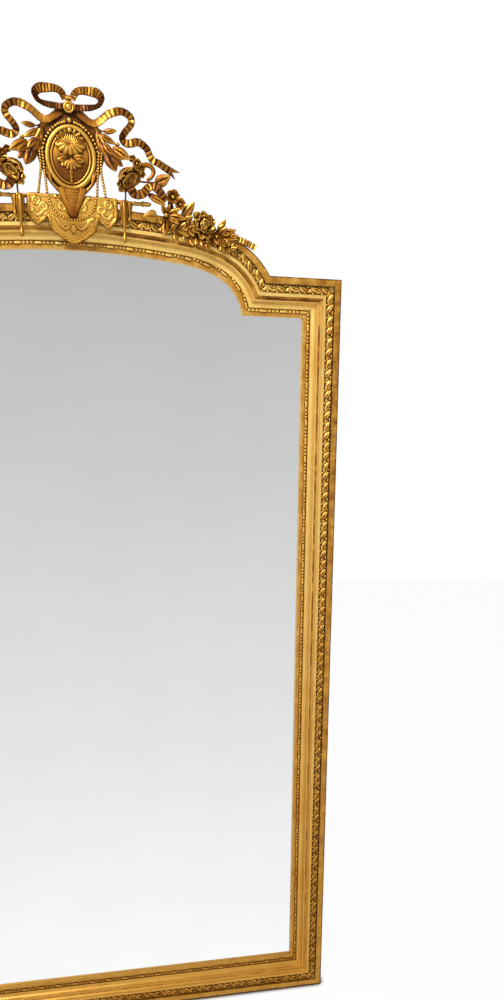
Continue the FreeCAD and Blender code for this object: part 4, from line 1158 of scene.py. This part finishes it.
def sky():
    """A white ground for the eye. The mirror sees a soft fall from grey above to white below in front
    of it, and carved gold sees a dim warm room to the sides."""
    world = bpy.data.worlds.new("studio")
    bpy.context.scene.world = world
    world.use_nodes = True
    tree = world.node_tree
    output = tree.nodes["World Output"]
    direction = add(tree, "TexCoord").outputs["Generated"]
    away, up = axes_of(tree, direction)[1:]
    greys = ((0.0, "#ffffff"), (0.045, "#fefefe"), (0.2, "#eaeaea"), (0.335, "#dddddd"), (0.47, "#cecece"),
             (0.573, "#c4c4c4"), (0.637, "#bbbbbb"), (1.0, "#a0a0a0"))
    fall = ramp(tree, eased(tree, up, -0.6, 0.6), greys)
    seen = add(tree, "Background", {"Color": linear("#ffffff"), "Strength": 1.0})
    room = mixed(tree, eased(tree, away, -0.3, -0.76), linear("#6a4c34"), fall)
    mirrored = add(tree, "Background", {"Color": room, "Strength": 1.0})
    soft = add(tree, "Background", {"Color": linear("#f2eee8"), "Strength": 0.2})
    path = add(tree, "LightPath")
    glossy = worked(tree, "MAXIMUM", path.outputs["Is Glossy Ray"], path.outputs["Is Transmission Ray"])
    first = add(tree, "MixShader", {0: glossy, 1: soft.outputs[0], 2: mirrored.outputs[0]})
    last = add(tree, "MixShader", {0: path.outputs["Is Camera Ray"], 1: first.outputs[0], 2: seen.outputs[0]})
    tree.links.new(last.outputs[0], output.inputs["Surface"])


def lamp(name, place, aim, size, power, mirrored=True):
    """A soft square lamp turned to a place, which shiny things may or may not mirror."""
    data = bpy.data.lights.new(name, "AREA")
    data.size = size
    data.energy = power
    light = bpy.data.objects.new(name, data)
    bpy.context.scene.collection.objects.link(light)
    light.location = place
    light.visible_glossy = mirrored
    light.rotation_mode = "QUATERNION"
    light.rotation_quaternion = (Vector(aim) - Vector(place)).to_track_quat("-Z", "Y")


def camera():
    """The photograph's own view: from the middle at head height, turned right and down, off centre."""
    focal = 891.7
    middle = (298.5, 656.8)
    width, height = 504, 1000
    yaw, pitch, roll = (math.radians(turn) for turn in (-13.239, -15.069, -1.186))
    data = bpy.data.cameras.new("view")
    data.sensor_width = 36
    data.sensor_fit = "AUTO"
    data.lens = focal / height * data.sensor_width
    data.shift_x = (width / 2 - middle[0]) / height
    data.shift_y = (middle[1] - height / 2) / height
    data.clip_start = 0.05
    eye = bpy.data.objects.new("view", data)
    bpy.context.scene.collection.objects.link(eye)
    turn = Matrix.Rotation(yaw, 4, "Z") @ Matrix.Rotation(pitch, 4, "X") @ Matrix.Rotation(roll, 4, "Y")
    level = Matrix.Rotation(math.pi / 2, 4, "X")
    eye.matrix_world = Matrix.Translation((0.0103, -2.1355, 1.5163)) @ turn @ level
    bpy.context.scene.camera = eye


stage()
sky()
lamp("key", (-1.5, -2.2, 3.9), (0.1, 0, 1.5), 1.2, 145)
lamp("fill", (0.4, -2.8, 1.1), (0, 0, 1.9), 1.5, 31, False)
lamp("behind", (0.0, 2.5, 2.6), (0, 0, 1.0), 2.0, 40)
camera()
bpy.context.scene.view_settings.view_transform = "Standard"
